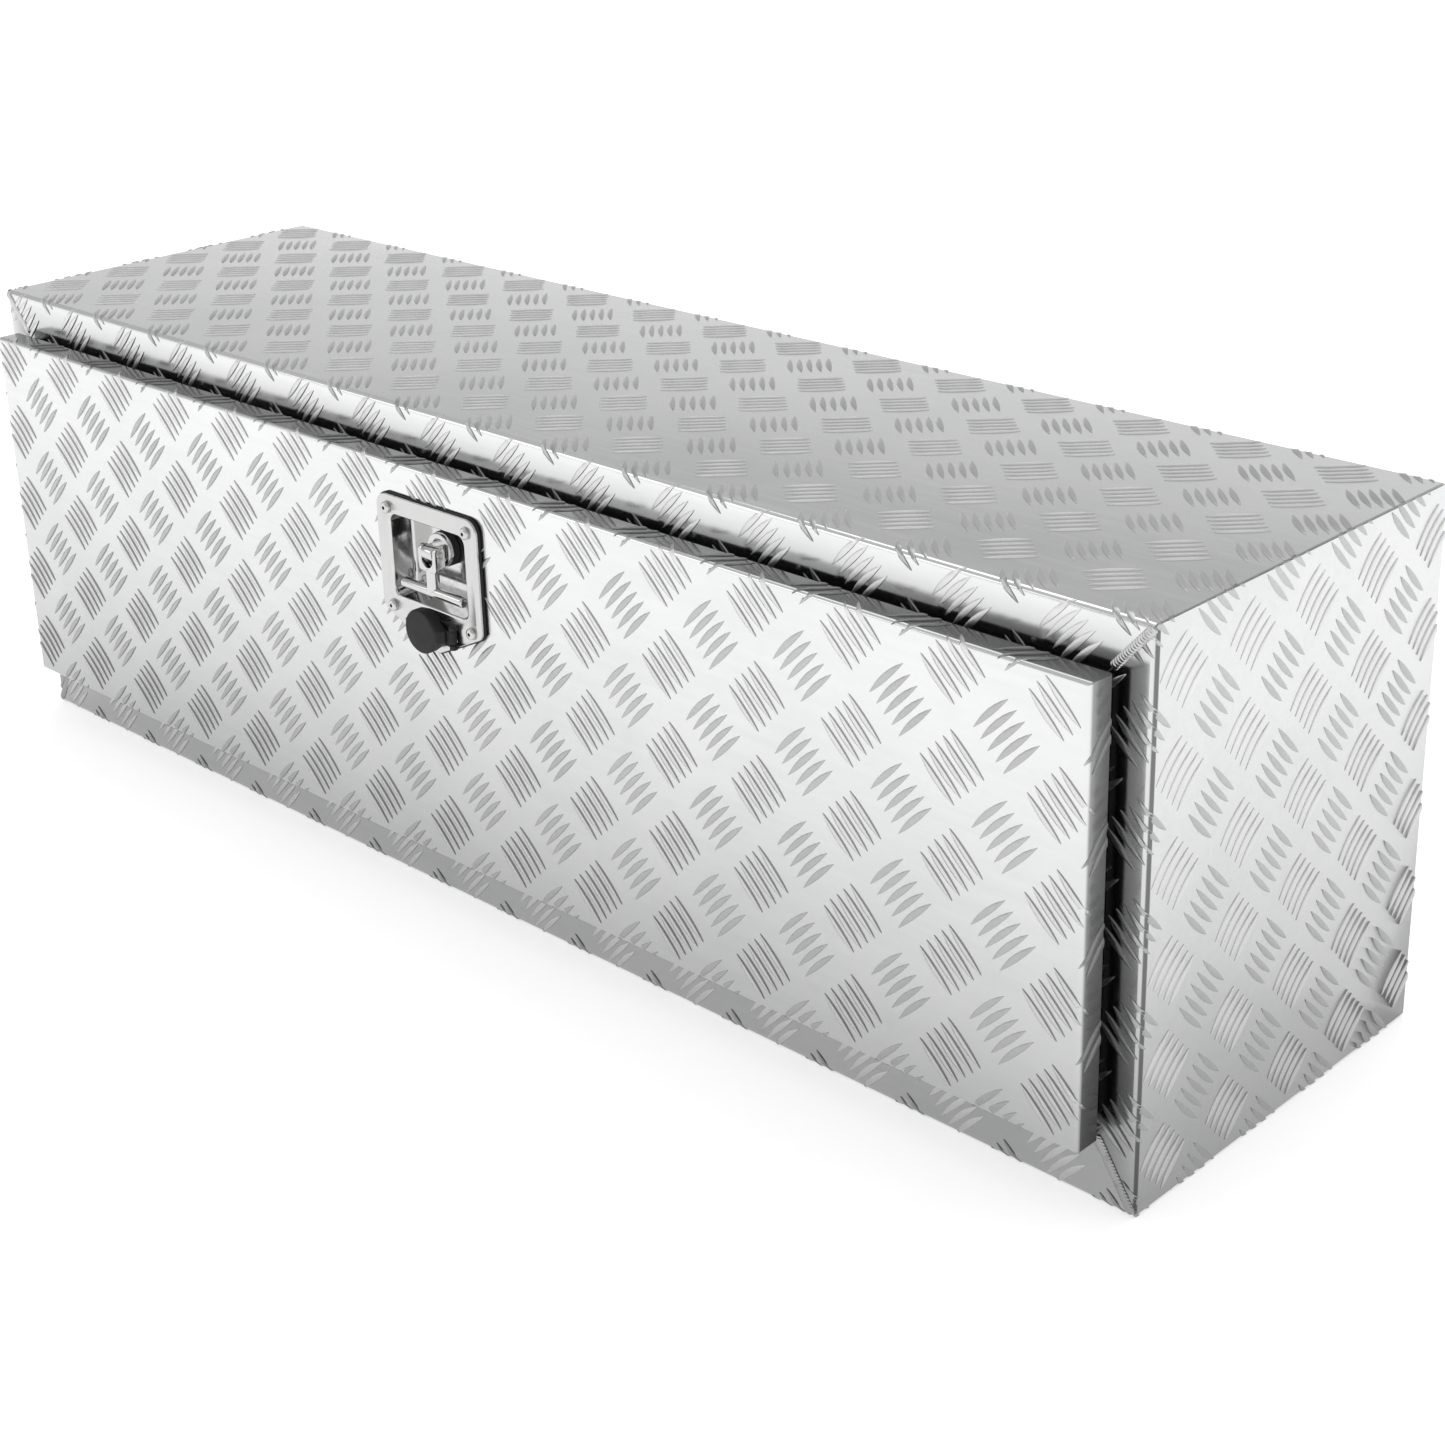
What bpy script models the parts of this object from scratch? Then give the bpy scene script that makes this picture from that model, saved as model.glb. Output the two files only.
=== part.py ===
"""Tread-plate truck tool box.

A folded aluminium body, a drop-down front door on a full-length hinge, two slotted door stays,
and a recessed folding T-handle latch with a key lock under a flip cap.

Metres, +Z up. X runs along the box, the door faces -Y, and the origin is the centre of the
body's bottom face. Depths called "out" are measured forward from the front of the body's frame.
"""

import math

import bmesh
import bpy
from mathutils import Vector

MM = 0.001
GAP = 0.3 * MM  # clearance between pieces that touch

# Body
BODY_LENGTH = 1220 * MM
BODY_DEPTH = 325 * MM
BODY_HEIGHT = 395 * MM
SHEET = 2 * MM
BEND = 4 * MM  # outside radius of a fold
TOP_FLANGE = 50 * MM
BOTTOM_FLANGE = 70 * MM
END_FLANGE = 44 * MM
LIP_DEPTH = 25 * MM
FRAME_Y = -BODY_DEPTH / 2
OPENING_HALF = BODY_LENGTH / 2 - END_FLANGE
OPENING_BOTTOM = BOTTOM_FLANGE
OPENING_TOP = BODY_HEIGHT - TOP_FLANGE

# Door
DOOR_HALF = 586 * MM
DOOR_BOTTOM = 49 * MM
DOOR_TOP = 362 * MM
DOOR_FRONT = 28 * MM
DOOR_REAR = 8 * MM
DOOR_LIP = 12 * MM
DOOR_BEND = 3 * MM
LINER_HALF = 530 * MM
LINER_SHEET = 1.5 * MM
LINER_MARGIN = 4 * MM
LINER_WINDOW = 52 * MM  # half width of the window round the latch

# Seal between the frame and the door
SEAL_INSET = 5 * MM
SEAL_WIDTH = 9 * MM
SEAL_BOTTOM = 58 * MM

# Hinge
HINGE_OUT = 4.5 * MM
HINGE_Z = 44.5 * MM
KNUCKLE_RADIUS = 4 * MM
HINGE_PIN_RADIUS = 1.6 * MM
HINGE_BORE_RADIUS = 2 * MM
HINGE_HALF = 576 * MM
KNUCKLES = 19
KNUCKLE_SIDES = 12
LEAF = 1.5 * MM
BODY_LEAF_TOP = 56.5 * MM
DOOR_LEAF_OUT = 24 * MM

# Stays: the pivot on the door and the stud on the frame lie at one distance from the hinge,
# so that the arm turns at exactly half the door's rate and its slot always covers the stud.
STAY_RADIUS = 190 * MM
STAY_PIVOT_OUT = 14.5 * MM
STUD_IN = 14 * MM
STAY_PLANE = 558.5 * MM  # middle of the arm, from the box's centre
STAY_THICKNESS = 3 * MM
STAY_WIDTH = 18 * MM
STUD_RADIUS = 4 * MM
SLOT_HALF_WIDTH = 4.4 * MM
DOOR_SWING = math.radians(90)

# Latch plate and dish
PLATE_TOP = 338 * MM
PLATE_HALF = 56 * MM
PLATE_SIDE = 92 * MM  # height of the square part
PLATE_SHEET = 2 * MM
PLATE_RADIUS = 11 * MM
GASKET_GROW = 1 * MM
GASKET_BACK = DOOR_FRONT + GAP
GASKET_FRONT = GASKET_BACK + 2 * MM
PLATE_BACK = GASKET_FRONT + GAP
PLATE_FRONT = PLATE_BACK + PLATE_SHEET
DISH_HALF = 41.7 * MM
DISH_TOP = PLATE_TOP - 14.5 * MM
DISH_BOTTOM = DISH_TOP - 64 * MM
DISH_DEPTH = 20 * MM
DISH_WALL = 1.5 * MM
DISH_TAPER = 1.5 * MM
DISH_RADIUS = 7 * MM
PLATE_SCREW_X = 44.5 * MM
PLATE_SCREW_TOP = PLATE_TOP - 10.5 * MM
PLATE_SCREW_BOTTOM = PLATE_TOP - 87.5 * MM
SCREW_HEAD_RADIUS = 4.5 * MM
SCREW_RADIUS = 2.5 * MM
DISH_SCREW_X = 30 * MM
DISH_SCREW_Z = DISH_TOP - 55 * MM

# Spindle, fork and T-bar
SPINDLE_Z = DISH_TOP - 22.3 * MM
SPINDLE_RADIUS = 6 * MM
SPINDLE_FLANGE_RADIUS = 13 * MM
SPINDLE_FLANGE = 4 * MM
RING_RADIUS = 13.6 * MM
RING_THICKNESS = 5 * MM
TONGUE_HALF = 5.7 * MM
TONGUE_RADIUS = 5.6 * MM
FORK_PIN_OUT = PLATE_FRONT - 3.7 * MM
FORK_PIN_RADIUS = 2.2 * MM
FORK_HALF = 9.6 * MM
FORK_CHEEK = 3.5 * MM
FORK_DEPTH = 4.5 * MM  # half the depth of a cheek
FORK_ABOVE = 6 * MM
FORK_CROTCH = 8.5 * MM
FORK_BELOW = 14.5 * MM
SHANK_RADIUS = 4.9 * MM
BAR_DROP = 30.5 * MM
BAR_RADIUS = 4 * MM
BAR_HALF = 34.3 * MM
HOUSING_RADIUS = 12 * MM
HOUSING_IN = 24 * MM
CAM_IN = 28 * MM
CAM_THICKNESS = 3 * MM
CAM_REACH = 40.3 * MM
CAM_WIDTH = 16 * MM

# Key lock and its cap
LOCK_Z = PLATE_TOP - 94 * MM
LOCK_RADIUS = 9 * MM
LOCK_FLANGE_RADIUS = 11 * MM
LOCK_FLANGE = 2 * MM
PLUG_RADIUS = 6 * MM
LOCK_BACK = 9 * MM
TAIL_LENGTH = 30 * MM
CAP_RADIUS = 17 * MM
CAP_BACK = PLATE_FRONT + 4.6 * MM
CAP_FRONT = PLATE_FRONT + 12.4 * MM
CAP_HINGE_X = 28 * MM
CAP_HINGE_OUT = PLATE_FRONT + 3.8 * MM
CAP_KNUCKLE_RADIUS = 2.6 * MM

# Corner welds
WELD_WIDTH = 7 * MM
WELD_HEIGHT = 1.6 * MM

SIDES = (("left", -1), ("right", 1))

# name: (colour, roughness, metallic)
FINISHES = {
    "tread_plate": ((0.78, 0.79, 0.80), 0.32, 1.0),
    "mill_aluminium": ((0.72, 0.73, 0.74), 0.42, 1.0),
    "weld_metal": ((0.70, 0.70, 0.71), 0.38, 1.0),
    "stainless_steel": ((0.74, 0.74, 0.73), 0.16, 1.0),
    "zinc_steel": ((0.62, 0.63, 0.64), 0.35, 1.0),
    "seal_rubber": ((0.03, 0.03, 0.03), 0.75, 0.0),
    "cap_rubber": ((0.035, 0.035, 0.037), 0.55, 0.0),
    "lock_brass": ((0.72, 0.66, 0.50), 0.30, 1.0),
}


# ---------------------------------------------------------------- places and outlines


def out(depth):
    """The Y of a plane that lies this far in front of the frame."""
    return FRAME_Y - depth


def point(along, a, b, c):
    """A point with a and b across the named axis, in X, Y, Z order, and c along it."""
    return {"X": (c, a, b), "Y": (a, c, b), "Z": (a, b, c)}[along]


def arc(centre, radius, start, end, steps):
    """Points on an arc, both ends included, with its angles in degrees."""
    found = []
    for i in range(steps + 1):
        angle = math.radians(start + (end - start) * i / steps)
        found.append((centre[0] + radius * math.cos(angle), centre[1] + radius * math.sin(angle)))
    return found


def circle(centre, radius, sides=24):
    """A closed outline of a circle."""
    return arc(centre, radius, 0, 360 * (sides - 1) / sides, sides - 1)


def rectangle(a0, a1, b0, b1):
    """A closed outline of a rectangle."""
    return [(a0, b0), (a1, b0), (a1, b1), (a0, b1)]


def rounded_rectangle(a0, a1, b0, b1, radius, steps=5):
    """A closed outline of a rectangle with round corners."""
    corners = (
        ((a1 - radius, b0 + radius), 270),
        ((a1 - radius, b1 - radius), 0),
        ((a0 + radius, b1 - radius), 90),
        ((a0 + radius, b0 + radius), 180),
    )
    return [p for centre, start in corners for p in arc(centre, radius, start, start + 90, steps)]


def plate_outline(grow=0.0):
    """The latch plate's shield shape in X and Z: square above, with a round-nosed V below."""
    half = PLATE_HALF + grow
    top = PLATE_TOP + grow
    corner = PLATE_RADIUS + grow
    low = PLATE_TOP - PLATE_SIDE - grow
    nose = 20 * MM + grow
    small = 7 * MM + grow
    # The slanted side leaves the lower corner's arc and meets the nose's arc on a tangent.
    shoulder = (half - small, low + small)
    across = shoulder[0]
    rise = shoulder[1] - LOCK_Z
    span = math.hypot(across, rise)
    slope = math.degrees(math.atan2(rise, across) + math.asin((nose - small) / span))
    turn = slope - 90
    right = arc((half - corner, top - corner), corner, 90, 0, 6)
    right += arc(shoulder, small, 0, turn, 5)
    right += arc((0, LOCK_Z), nose, turn, -90, 7)
    left = [(-a, b) for a, b in reversed(right[:-1])]
    return right + left


# ---------------------------------------------------------------- solids


def loft(loops, ring=False):
    """A closed skin through loops of equal length. It is capped at both ends, or a ring joins them."""
    bm = bmesh.new()
    rows = [[bm.verts.new(p) for p in loop] for loop in loops]
    pairs = list(zip(rows, rows[1:]))
    if ring:
        pairs.append((rows[-1], rows[0]))
    else:
        bm.faces.new(rows[0])
        bm.faces.new(rows[-1])
    for row, following in pairs:
        for i, vert in enumerate(row):
            j = (i + 1) % len(row)
            bm.faces.new((vert, row[j], following[j], following[i]))
    bmesh.ops.recalc_face_normals(bm, faces=bm.faces)
    return bm


def prism(along, outline, low, high):
    """An outline carried along an axis."""
    return loft([[point(along, a, b, c) for a, b in outline] for c in (low, high)])


def block(x0, x1, y0, y1, z0, z1):
    """A rectangular block."""
    return prism("Z", rectangle(x0, x1, y0, y1), z0, z1)


def turned(along, centre, profile, sides=24):
    """A solid of revolution: profile is a list of (distance along the axis, radius)."""
    return loft([[point(along, a, b, c) for a, b in circle(centre, r, sides)] for c, r in profile])


def rod(along, centre, radius, low, high, chamfer=0.0, sides=24):
    """A round bar, with chamfered ends where a chamfer is given."""
    if not chamfer:
        return turned(along, centre, [(low, radius), (high, radius)], sides)
    small = radius - chamfer
    profile = [(low, small), (low + chamfer, radius), (high - chamfer, radius), (high, small)]
    return turned(along, centre, profile, sides)


def bent_sheet(along, corners, side, thickness, bend, reach):
    """A folded sheet: corners is its outer outline across the axis, and reach(point) its two ends.

    side is 1 when the sheet's thickness lies to the right of the way the outline runs, and -1
    when it lies to the left. Every fold is a right angle towards the thickness.
    """
    outer, inner = [], []
    for i, corner in enumerate(corners):
        here = Vector(corner)
        before = (here - Vector(corners[i - 1])).normalized() if i else None
        after = (Vector(corners[i + 1]) - here).normalized() if i < len(corners) - 1 else None
        if before is None or after is None:
            way = after or before
            normal = Vector((way.y, -way.x)) * side
            outer.append(here)
            inner.append(here + normal * thickness)
            continue
        centre = here - before * bend + after * bend
        for step in range(5):
            angle = math.pi / 2 * step / 4
            spoke = before * math.sin(angle) - after * math.cos(angle)
            outer.append(centre + spoke * bend)
            inner.append(centre + spoke * (bend - thickness))
    bm = bmesh.new()
    rows = []
    for skin in (outer, inner):
        for end in (0, 1):
            rows.append([bm.verts.new(point(along, p.x, p.y, reach(p)[end])) for p in skin])
    outer_low, outer_high, inner_low, inner_high = rows
    for i in range(len(outer) - 1):
        bm.faces.new((outer_low[i], outer_low[i + 1], outer_high[i + 1], outer_high[i]))
        bm.faces.new((inner_low[i], inner_low[i + 1], inner_high[i + 1], inner_high[i]))
        bm.faces.new((outer_low[i], outer_low[i + 1], inner_low[i + 1], inner_low[i]))
        bm.faces.new((outer_high[i], outer_high[i + 1], inner_high[i + 1], inner_high[i]))
    for i in (0, -1):
        bm.faces.new((outer_low[i], outer_high[i], inner_high[i], inner_low[i]))
    bmesh.ops.recalc_face_normals(bm, faces=bm.faces)
    return bm


def rectangle_loop(inset, depth):
    """The door's outline drawn in by inset, in the plane at this depth."""
    outline = rectangle(
        -DOOR_HALF + inset, DOOR_HALF - inset, DOOR_BOTTOM + inset, DOOR_TOP - inset
    )
    return [(a, out(depth), b) for a, b in outline]


# ---------------------------------------------------------------- objects


class Pivot:
    """An empty on a joint's axis, with its place in the world."""

    def __init__(self, name, place, parent=None):
        self.place = Vector(place)
        self.empty = bpy.data.objects.new(name, None)
        self.empty.empty_display_size = 30 * MM
        bpy.context.collection.objects.link(self.empty)
        self.empty.location = self.place - (parent.place if parent else Vector())
        if parent:
            self.empty.parent = parent.empty


def material(name):
    """The named Principled finish, made once."""
    found = bpy.data.materials.get(name)
    if found:
        return found
    colour, roughness, metallic = FINISHES[name]
    made = bpy.data.materials.new(name)
    made.use_nodes = True
    shader = made.node_tree.nodes["Principled BSDF"]
    shader.inputs["Base Color"].default_value = (*colour, 1)
    shader.inputs["Roughness"].default_value = roughness
    shader.inputs["Metallic"].default_value = metallic
    return made


def object_of(name, bm, origin):
    """An object from a bmesh in world coordinates, with its own origin moved to the given place."""
    bmesh.ops.translate(bm, verts=bm.verts, vec=-origin)
    mesh = bpy.data.meshes.new(name)
    bm.to_mesh(mesh)
    bm.free()
    made = bpy.data.objects.new(name, mesh)
    bpy.context.collection.objects.link(made)
    return made


def piece(name, bm, finish, pivot, round_piece=False):
    """A named sub-part on its pivot."""
    made = object_of(name, bm, pivot.place)
    made.parent = pivot.empty
    made.data.materials.append(material(finish))
    if round_piece:
        made.data.shade_smooth()
        made.data.set_sharp_from_angle(angle=math.radians(35))
    made["place"] = list(pivot.place)
    return made


def combine(target, operation, name, bm):
    """Joins a hidden solid to the target, or cuts it away, with an exact Boolean."""
    tool = object_of(f"{target.name}_{name}", bm, Vector(target["place"]))
    tool.parent = target
    tool.hide_render = True
    tool.display_type = "WIRE"
    modifier = target.modifiers.new(name, "BOOLEAN")
    modifier.operation = operation
    modifier.solver = "EXACT"
    modifier.object = tool


def cut(target, name, bm):
    """Cuts a solid away from the target."""
    combine(target, "DIFFERENCE", name, bm)


def join(target, name, bm):
    """Joins a solid to the target."""
    combine(target, "UNION", name, bm)


# ---------------------------------------------------------------- body


def mitre_x(z):
    """How far out the frame's mitre lies at this height."""
    if z > BODY_HEIGHT / 2:
        share = (z - OPENING_TOP) / TOP_FLANGE
    else:
        share = (OPENING_BOTTOM - z) / BOTTOM_FLANGE
    return OPENING_HALF + share * END_FLANGE


def shell_reach(place):
    """The two ends of the shell's sheet at a point of its cross-section (Y, Z)."""
    half = BODY_LENGTH / 2 - SHEET - GAP
    if place.x < FRAME_Y + LIP_DEPTH + BEND and (
        OPENING_TOP - MM < place.y or place.y < OPENING_BOTTOM + MM
    ):
        half = min(half, mitre_x(place.y) - GAP)
    on_sheet = place.x > FRAME_Y + BEND + MM and (
        place.y > BODY_HEIGHT - SHEET - MM or place.y < SHEET + MM
    )
    if on_sheet:
        half = BODY_LENGTH / 2 - SHEET - GAP
    return -half, half


def end_reach(place):
    """The lower and upper end of an end panel's sheet at a point of its plan (X, Y)."""
    share = min(1.0, (abs(place.x) - OPENING_HALF) / END_FLANGE)
    low = OPENING_BOTTOM * (1 - share)
    high = OPENING_TOP + TOP_FLANGE * share
    return low, high


def build_body(root):
    """The shell with its flanges, the two end panels, the corner welds and the seal."""
    back = FRAME_Y + BODY_DEPTH
    lip = FRAME_Y + LIP_DEPTH
    shell_corners = [
        (lip, OPENING_TOP),
        (FRAME_Y, OPENING_TOP),
        (FRAME_Y, BODY_HEIGHT),
        (back, BODY_HEIGHT),
        (back, 0),
        (FRAME_Y, 0),
        (FRAME_Y, OPENING_BOTTOM),
        (lip, OPENING_BOTTOM),
    ]
    shell = bent_sheet("X", shell_corners, 1, SHEET, BEND, shell_reach)
    piece("body_shell", shell, "tread_plate", root, True)
    for name, side in SIDES:
        end_corners = [
            (side * OPENING_HALF, lip),
            (side * OPENING_HALF, FRAME_Y),
            (side * BODY_LENGTH / 2, FRAME_Y),
            (side * BODY_LENGTH / 2, back),
        ]
        end = bent_sheet("Z", end_corners, -side, SHEET, BEND, end_reach)
        piece(f"{name}_end_panel", end, "tread_plate", root, True)
        for level, corner_z, inner_z in (
            ("top", BODY_HEIGHT, OPENING_TOP),
            ("bottom", 0, OPENING_BOTTOM),
        ):
            piece(
                f"corner_weld_{level}_{name}",
                weld_bead(side, corner_z, inner_z),
                "weld_metal",
                root,
                True,
            )
    seal_outer = rectangle(
        -DOOR_HALF + SEAL_INSET, DOOR_HALF - SEAL_INSET, SEAL_BOTTOM, DOOR_TOP - SEAL_INSET
    )
    seal_inner = rectangle(
        -DOOR_HALF + SEAL_INSET + SEAL_WIDTH,
        DOOR_HALF - SEAL_INSET - SEAL_WIDTH,
        SEAL_BOTTOM + SEAL_WIDTH,
        DOOR_TOP - SEAL_INSET - SEAL_WIDTH,
    )
    near, far = out(GAP), out(DOOR_REAR - GAP)
    loops = [
        [(a, depth, b) for a, b in outline]
        for outline, depth in (
            (seal_outer, near),
            (seal_outer, far),
            (seal_inner, far),
            (seal_inner, near),
        )
    ]
    piece("door_seal", loft(loops, ring=True), "seal_rubber", root)


def weld_bead(side, corner_z, inner_z):
    """A low round bead on the frame's mitre, from near the outer corner to the seal."""
    corner = Vector((side * BODY_LENGTH / 2, corner_z))
    inner = Vector((side * OPENING_HALF, inner_z))
    way = inner - corner
    across = Vector((-way.y, way.x)).normalized()
    seal_edge = DOOR_HALF - SEAL_INSET + 2 * MM
    to_seal = (BODY_LENGTH / 2 - seal_edge) / END_FLANGE
    loops = []
    for share, size in ((0.05, 0.45), (0.10, 0.9), (0.3, 1), (0.7, 1), (0.92, 0.9), (1, 0.45)):
        middle = corner + way * (0.02 + share * (to_seal - 0.02))
        loop = []
        for a, b in arc((0, 0), 1, 0, 180, 6):
            spot = middle + across * a * WELD_WIDTH / 2 * size
            loop.append((spot.x, out(GAP + b * WELD_HEIGHT * size), spot.y))
        loops.append(loop)
    return loft(loops)


# ---------------------------------------------------------------- hinge


def knuckle_spans(first):
    """The ends along X of every second knuckle, starting with the given one."""
    pitch = 2 * HINGE_HALF / KNUCKLES
    for i in range(first, KNUCKLES, 2):
        start = -HINGE_HALF + i * pitch
        yield start + GAP, start + pitch - GAP


def build_hinge(root, door):
    """The full-length hinge: one leaf on the frame, one under the door, and the pin."""
    axis = (out(HINGE_OUT), HINGE_Z)
    clear = KNUCKLE_RADIUS + 0.5 * MM
    body_leaf = piece(
        "hinge_body_leaf",
        block(-HINGE_HALF, HINGE_HALF, out(GAP + LEAF), out(GAP), HINGE_Z + clear, BODY_LEAF_TOP),
        "stainless_steel",
        root,
        True,
    )
    door_leaf_top = DOOR_BOTTOM - GAP
    door_leaf = piece(
        "hinge_door_leaf",
        block(
            -HINGE_HALF,
            HINGE_HALF,
            out(DOOR_LEAF_OUT),
            out(HINGE_OUT + clear),
            door_leaf_top - LEAF,
            door_leaf_top,
        ),
        "stainless_steel",
        door,
        True,
    )
    for leaf, first in ((body_leaf, 0), (door_leaf, 1)):
        for number, (start, end) in enumerate(knuckle_spans(first)):
            join(leaf, f"knuckle_{number}", rod("X", axis, KNUCKLE_RADIUS, start, end, sides=KNUCKLE_SIDES))
            if first:
                web = block(
                    start,
                    end,
                    out(HINGE_OUT + clear + MM),
                    out(HINGE_OUT),
                    door_leaf_top - LEAF,
                    HINGE_Z + KNUCKLE_RADIUS - 0.02 * MM,
                )
            else:
                web = block(
                    start,
                    end,
                    out(GAP + LEAF),
                    out(HINGE_OUT - KNUCKLE_RADIUS + 0.05 * MM),
                    HINGE_Z,
                    HINGE_Z + clear + MM,
                )
            join(leaf, f"web_{number}", web)
        ends = (-HINGE_HALF - MM, HINGE_HALF + MM)
        cut(leaf, "bore", rod("X", axis, HINGE_BORE_RADIUS, *ends, sides=KNUCKLE_SIDES))
    pin = rod("X", axis, HINGE_PIN_RADIUS, -HINGE_HALF, HINGE_HALF, sides=KNUCKLE_SIDES)
    piece("hinge_pin", pin, "zinc_steel", root, True)


# ---------------------------------------------------------------- door


def build_door(door):
    """The folded door pan with its latch cut-out, and the smooth liner riveted in its back."""
    rings = [
        rectangle_loop(DOOR_LIP, DOOR_REAR),
        rectangle_loop(0, DOOR_REAR),
    ]
    for step in range(5):
        angle = math.pi / 2 * step / 4
        inset = DOOR_BEND * (1 - math.cos(angle))
        rings.append(rectangle_loop(inset, DOOR_FRONT - DOOR_BEND * (1 - math.sin(angle))))
    inner = [
        rectangle_loop(SHEET, DOOR_FRONT - SHEET),
        rectangle_loop(SHEET, DOOR_REAR + SHEET),
        rectangle_loop(DOOR_LIP, DOOR_REAR + SHEET),
    ]
    pan = pan_solid(rings, inner)
    panel = piece("door_panel", pan, "tread_plate", door, True)
    margin = 2.5 * MM
    window = rectangle(
        -DISH_HALF - margin, DISH_HALF + margin, DISH_BOTTOM - margin, DISH_TOP + margin
    )
    cut(panel, "dish_hole", prism("Y", window, out(DOOR_FRONT + MM), out(DOOR_FRONT - 3 * MM)))
    lock_hole = rod(
        "Y", (0, LOCK_Z), LOCK_RADIUS + 2.5 * MM, out(DOOR_FRONT + MM), out(DOOR_FRONT - 3 * MM)
    )
    cut(panel, "lock_hole", lock_hole)
    for number, (x, z) in enumerate(plate_screw_places()):
        hole = rod(
            "Y", (x, z), SCREW_RADIUS + GAP, out(DOOR_FRONT + MM), out(DOOR_FRONT - 3 * MM)
        )
        cut(panel, f"screw_hole_{number}", hole)
    liner_back = DOOR_REAR + SHEET + GAP
    liner = piece(
        "door_liner",
        block(
            -LINER_HALF,
            LINER_HALF,
            out(liner_back + LINER_SHEET),
            out(liner_back),
            DOOR_BOTTOM + LINER_MARGIN,
            DOOR_TOP - LINER_MARGIN,
        ),
        "mill_aluminium",
        door,
    )
    low = LOCK_Z - TAIL_LENGTH - 5 * MM
    window = rounded_rectangle(
        -LINER_WINDOW, LINER_WINDOW, low, PLATE_TOP - 2 * MM, 8 * MM
    )
    cut(liner, "window", prism("Y", window, out(liner_back + 3 * MM), out(liner_back - MM)))


def pan_solid(outer, inner):
    """A sheet pan: outer loops from the lip's edge to the front, inner loops back to the lip."""
    bm = bmesh.new()
    outer_rows = [[bm.verts.new(p) for p in loop] for loop in outer]
    inner_rows = [[bm.verts.new(p) for p in loop] for loop in inner]
    bm.faces.new(outer_rows[-1])
    bm.faces.new(inner_rows[0])
    pairs = list(zip(outer_rows, outer_rows[1:]))
    pairs += list(zip(inner_rows, inner_rows[1:]))
    pairs.append((inner_rows[-1], outer_rows[0]))
    for row, following in pairs:
        for i, vert in enumerate(row):
            j = (i + 1) % len(row)
            bm.faces.new((vert, row[j], following[j], following[i]))
    bmesh.ops.recalc_face_normals(bm, faces=bm.faces)
    return bm


# ---------------------------------------------------------------- stays


def stay_places():
    """The pivot on the door and the stud on the frame, both in Y and Z with the door shut."""
    hinge = Vector((out(HINGE_OUT), HINGE_Z))
    pivot_offset = STAY_PIVOT_OUT - HINGE_OUT
    stud_offset = STUD_IN + HINGE_OUT
    pivot = hinge + Vector((-pivot_offset, math.sqrt(STAY_RADIUS**2 - pivot_offset**2)))
    stud = hinge + Vector((stud_offset, math.sqrt(STAY_RADIUS**2 - stud_offset**2)))
    shut = math.asin(pivot_offset / STAY_RADIUS) + math.asin(stud_offset / STAY_RADIUS)
    nearest = 2 * STAY_RADIUS * math.sin(shut / 2)
    furthest = 2 * STAY_RADIUS * math.sin((shut + DOOR_SWING) / 2)
    return pivot, stud, nearest, furthest


def build_stays(root, door):
    """On each side an arm, its bracket and rivet on the door, and its stud and nut on the lip."""
    pivot, stud, nearest, furthest = stay_places()
    way = (stud - pivot).normalized()
    across = Vector((-way.y, way.x))
    half_width = STAY_WIDTH / 2
    tip = furthest + 14 * MM

    def in_arm(along, sideways):
        spot = pivot + way * along + across * sideways
        return spot.x, spot.y

    arm_outline = [
        in_arm(a, b)
        for a, b in arc((0, 0), half_width, 90, 270, 10) + arc((tip, 0), half_width, -90, 90, 10)
    ]
    slot_outline = [
        in_arm(a, b)
        for a, b in arc((nearest, 0), SLOT_HALF_WIDTH, 90, 270, 8)
        + arc((furthest, 0), SLOT_HALF_WIDTH, -90, 90, 8)
    ]
    half = STAY_THICKNESS / 2
    for name, side in SIDES:
        middle = side * STAY_PLANE
        arm_pivot = Pivot(f"{name}_stay_axis", (middle, pivot.x, pivot.y), door)
        arm = piece(
            f"{name}_stay_arm",
            prism("X", arm_outline, middle - half, middle + half),
            "zinc_steel",
            arm_pivot,
        )
        cut(arm, "slot", prism("X", slot_outline, middle - 3 * half, middle + 3 * half))
        rivet_hole = rod("X", pivot, 3.4 * MM, middle - 3 * half, middle + 3 * half, sides=24)
        cut(arm, "rivet_hole", rivet_hole)
        build_stay_door_end(name, side, door, pivot)
        build_stay_stud(name, side, root, stud)


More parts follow.
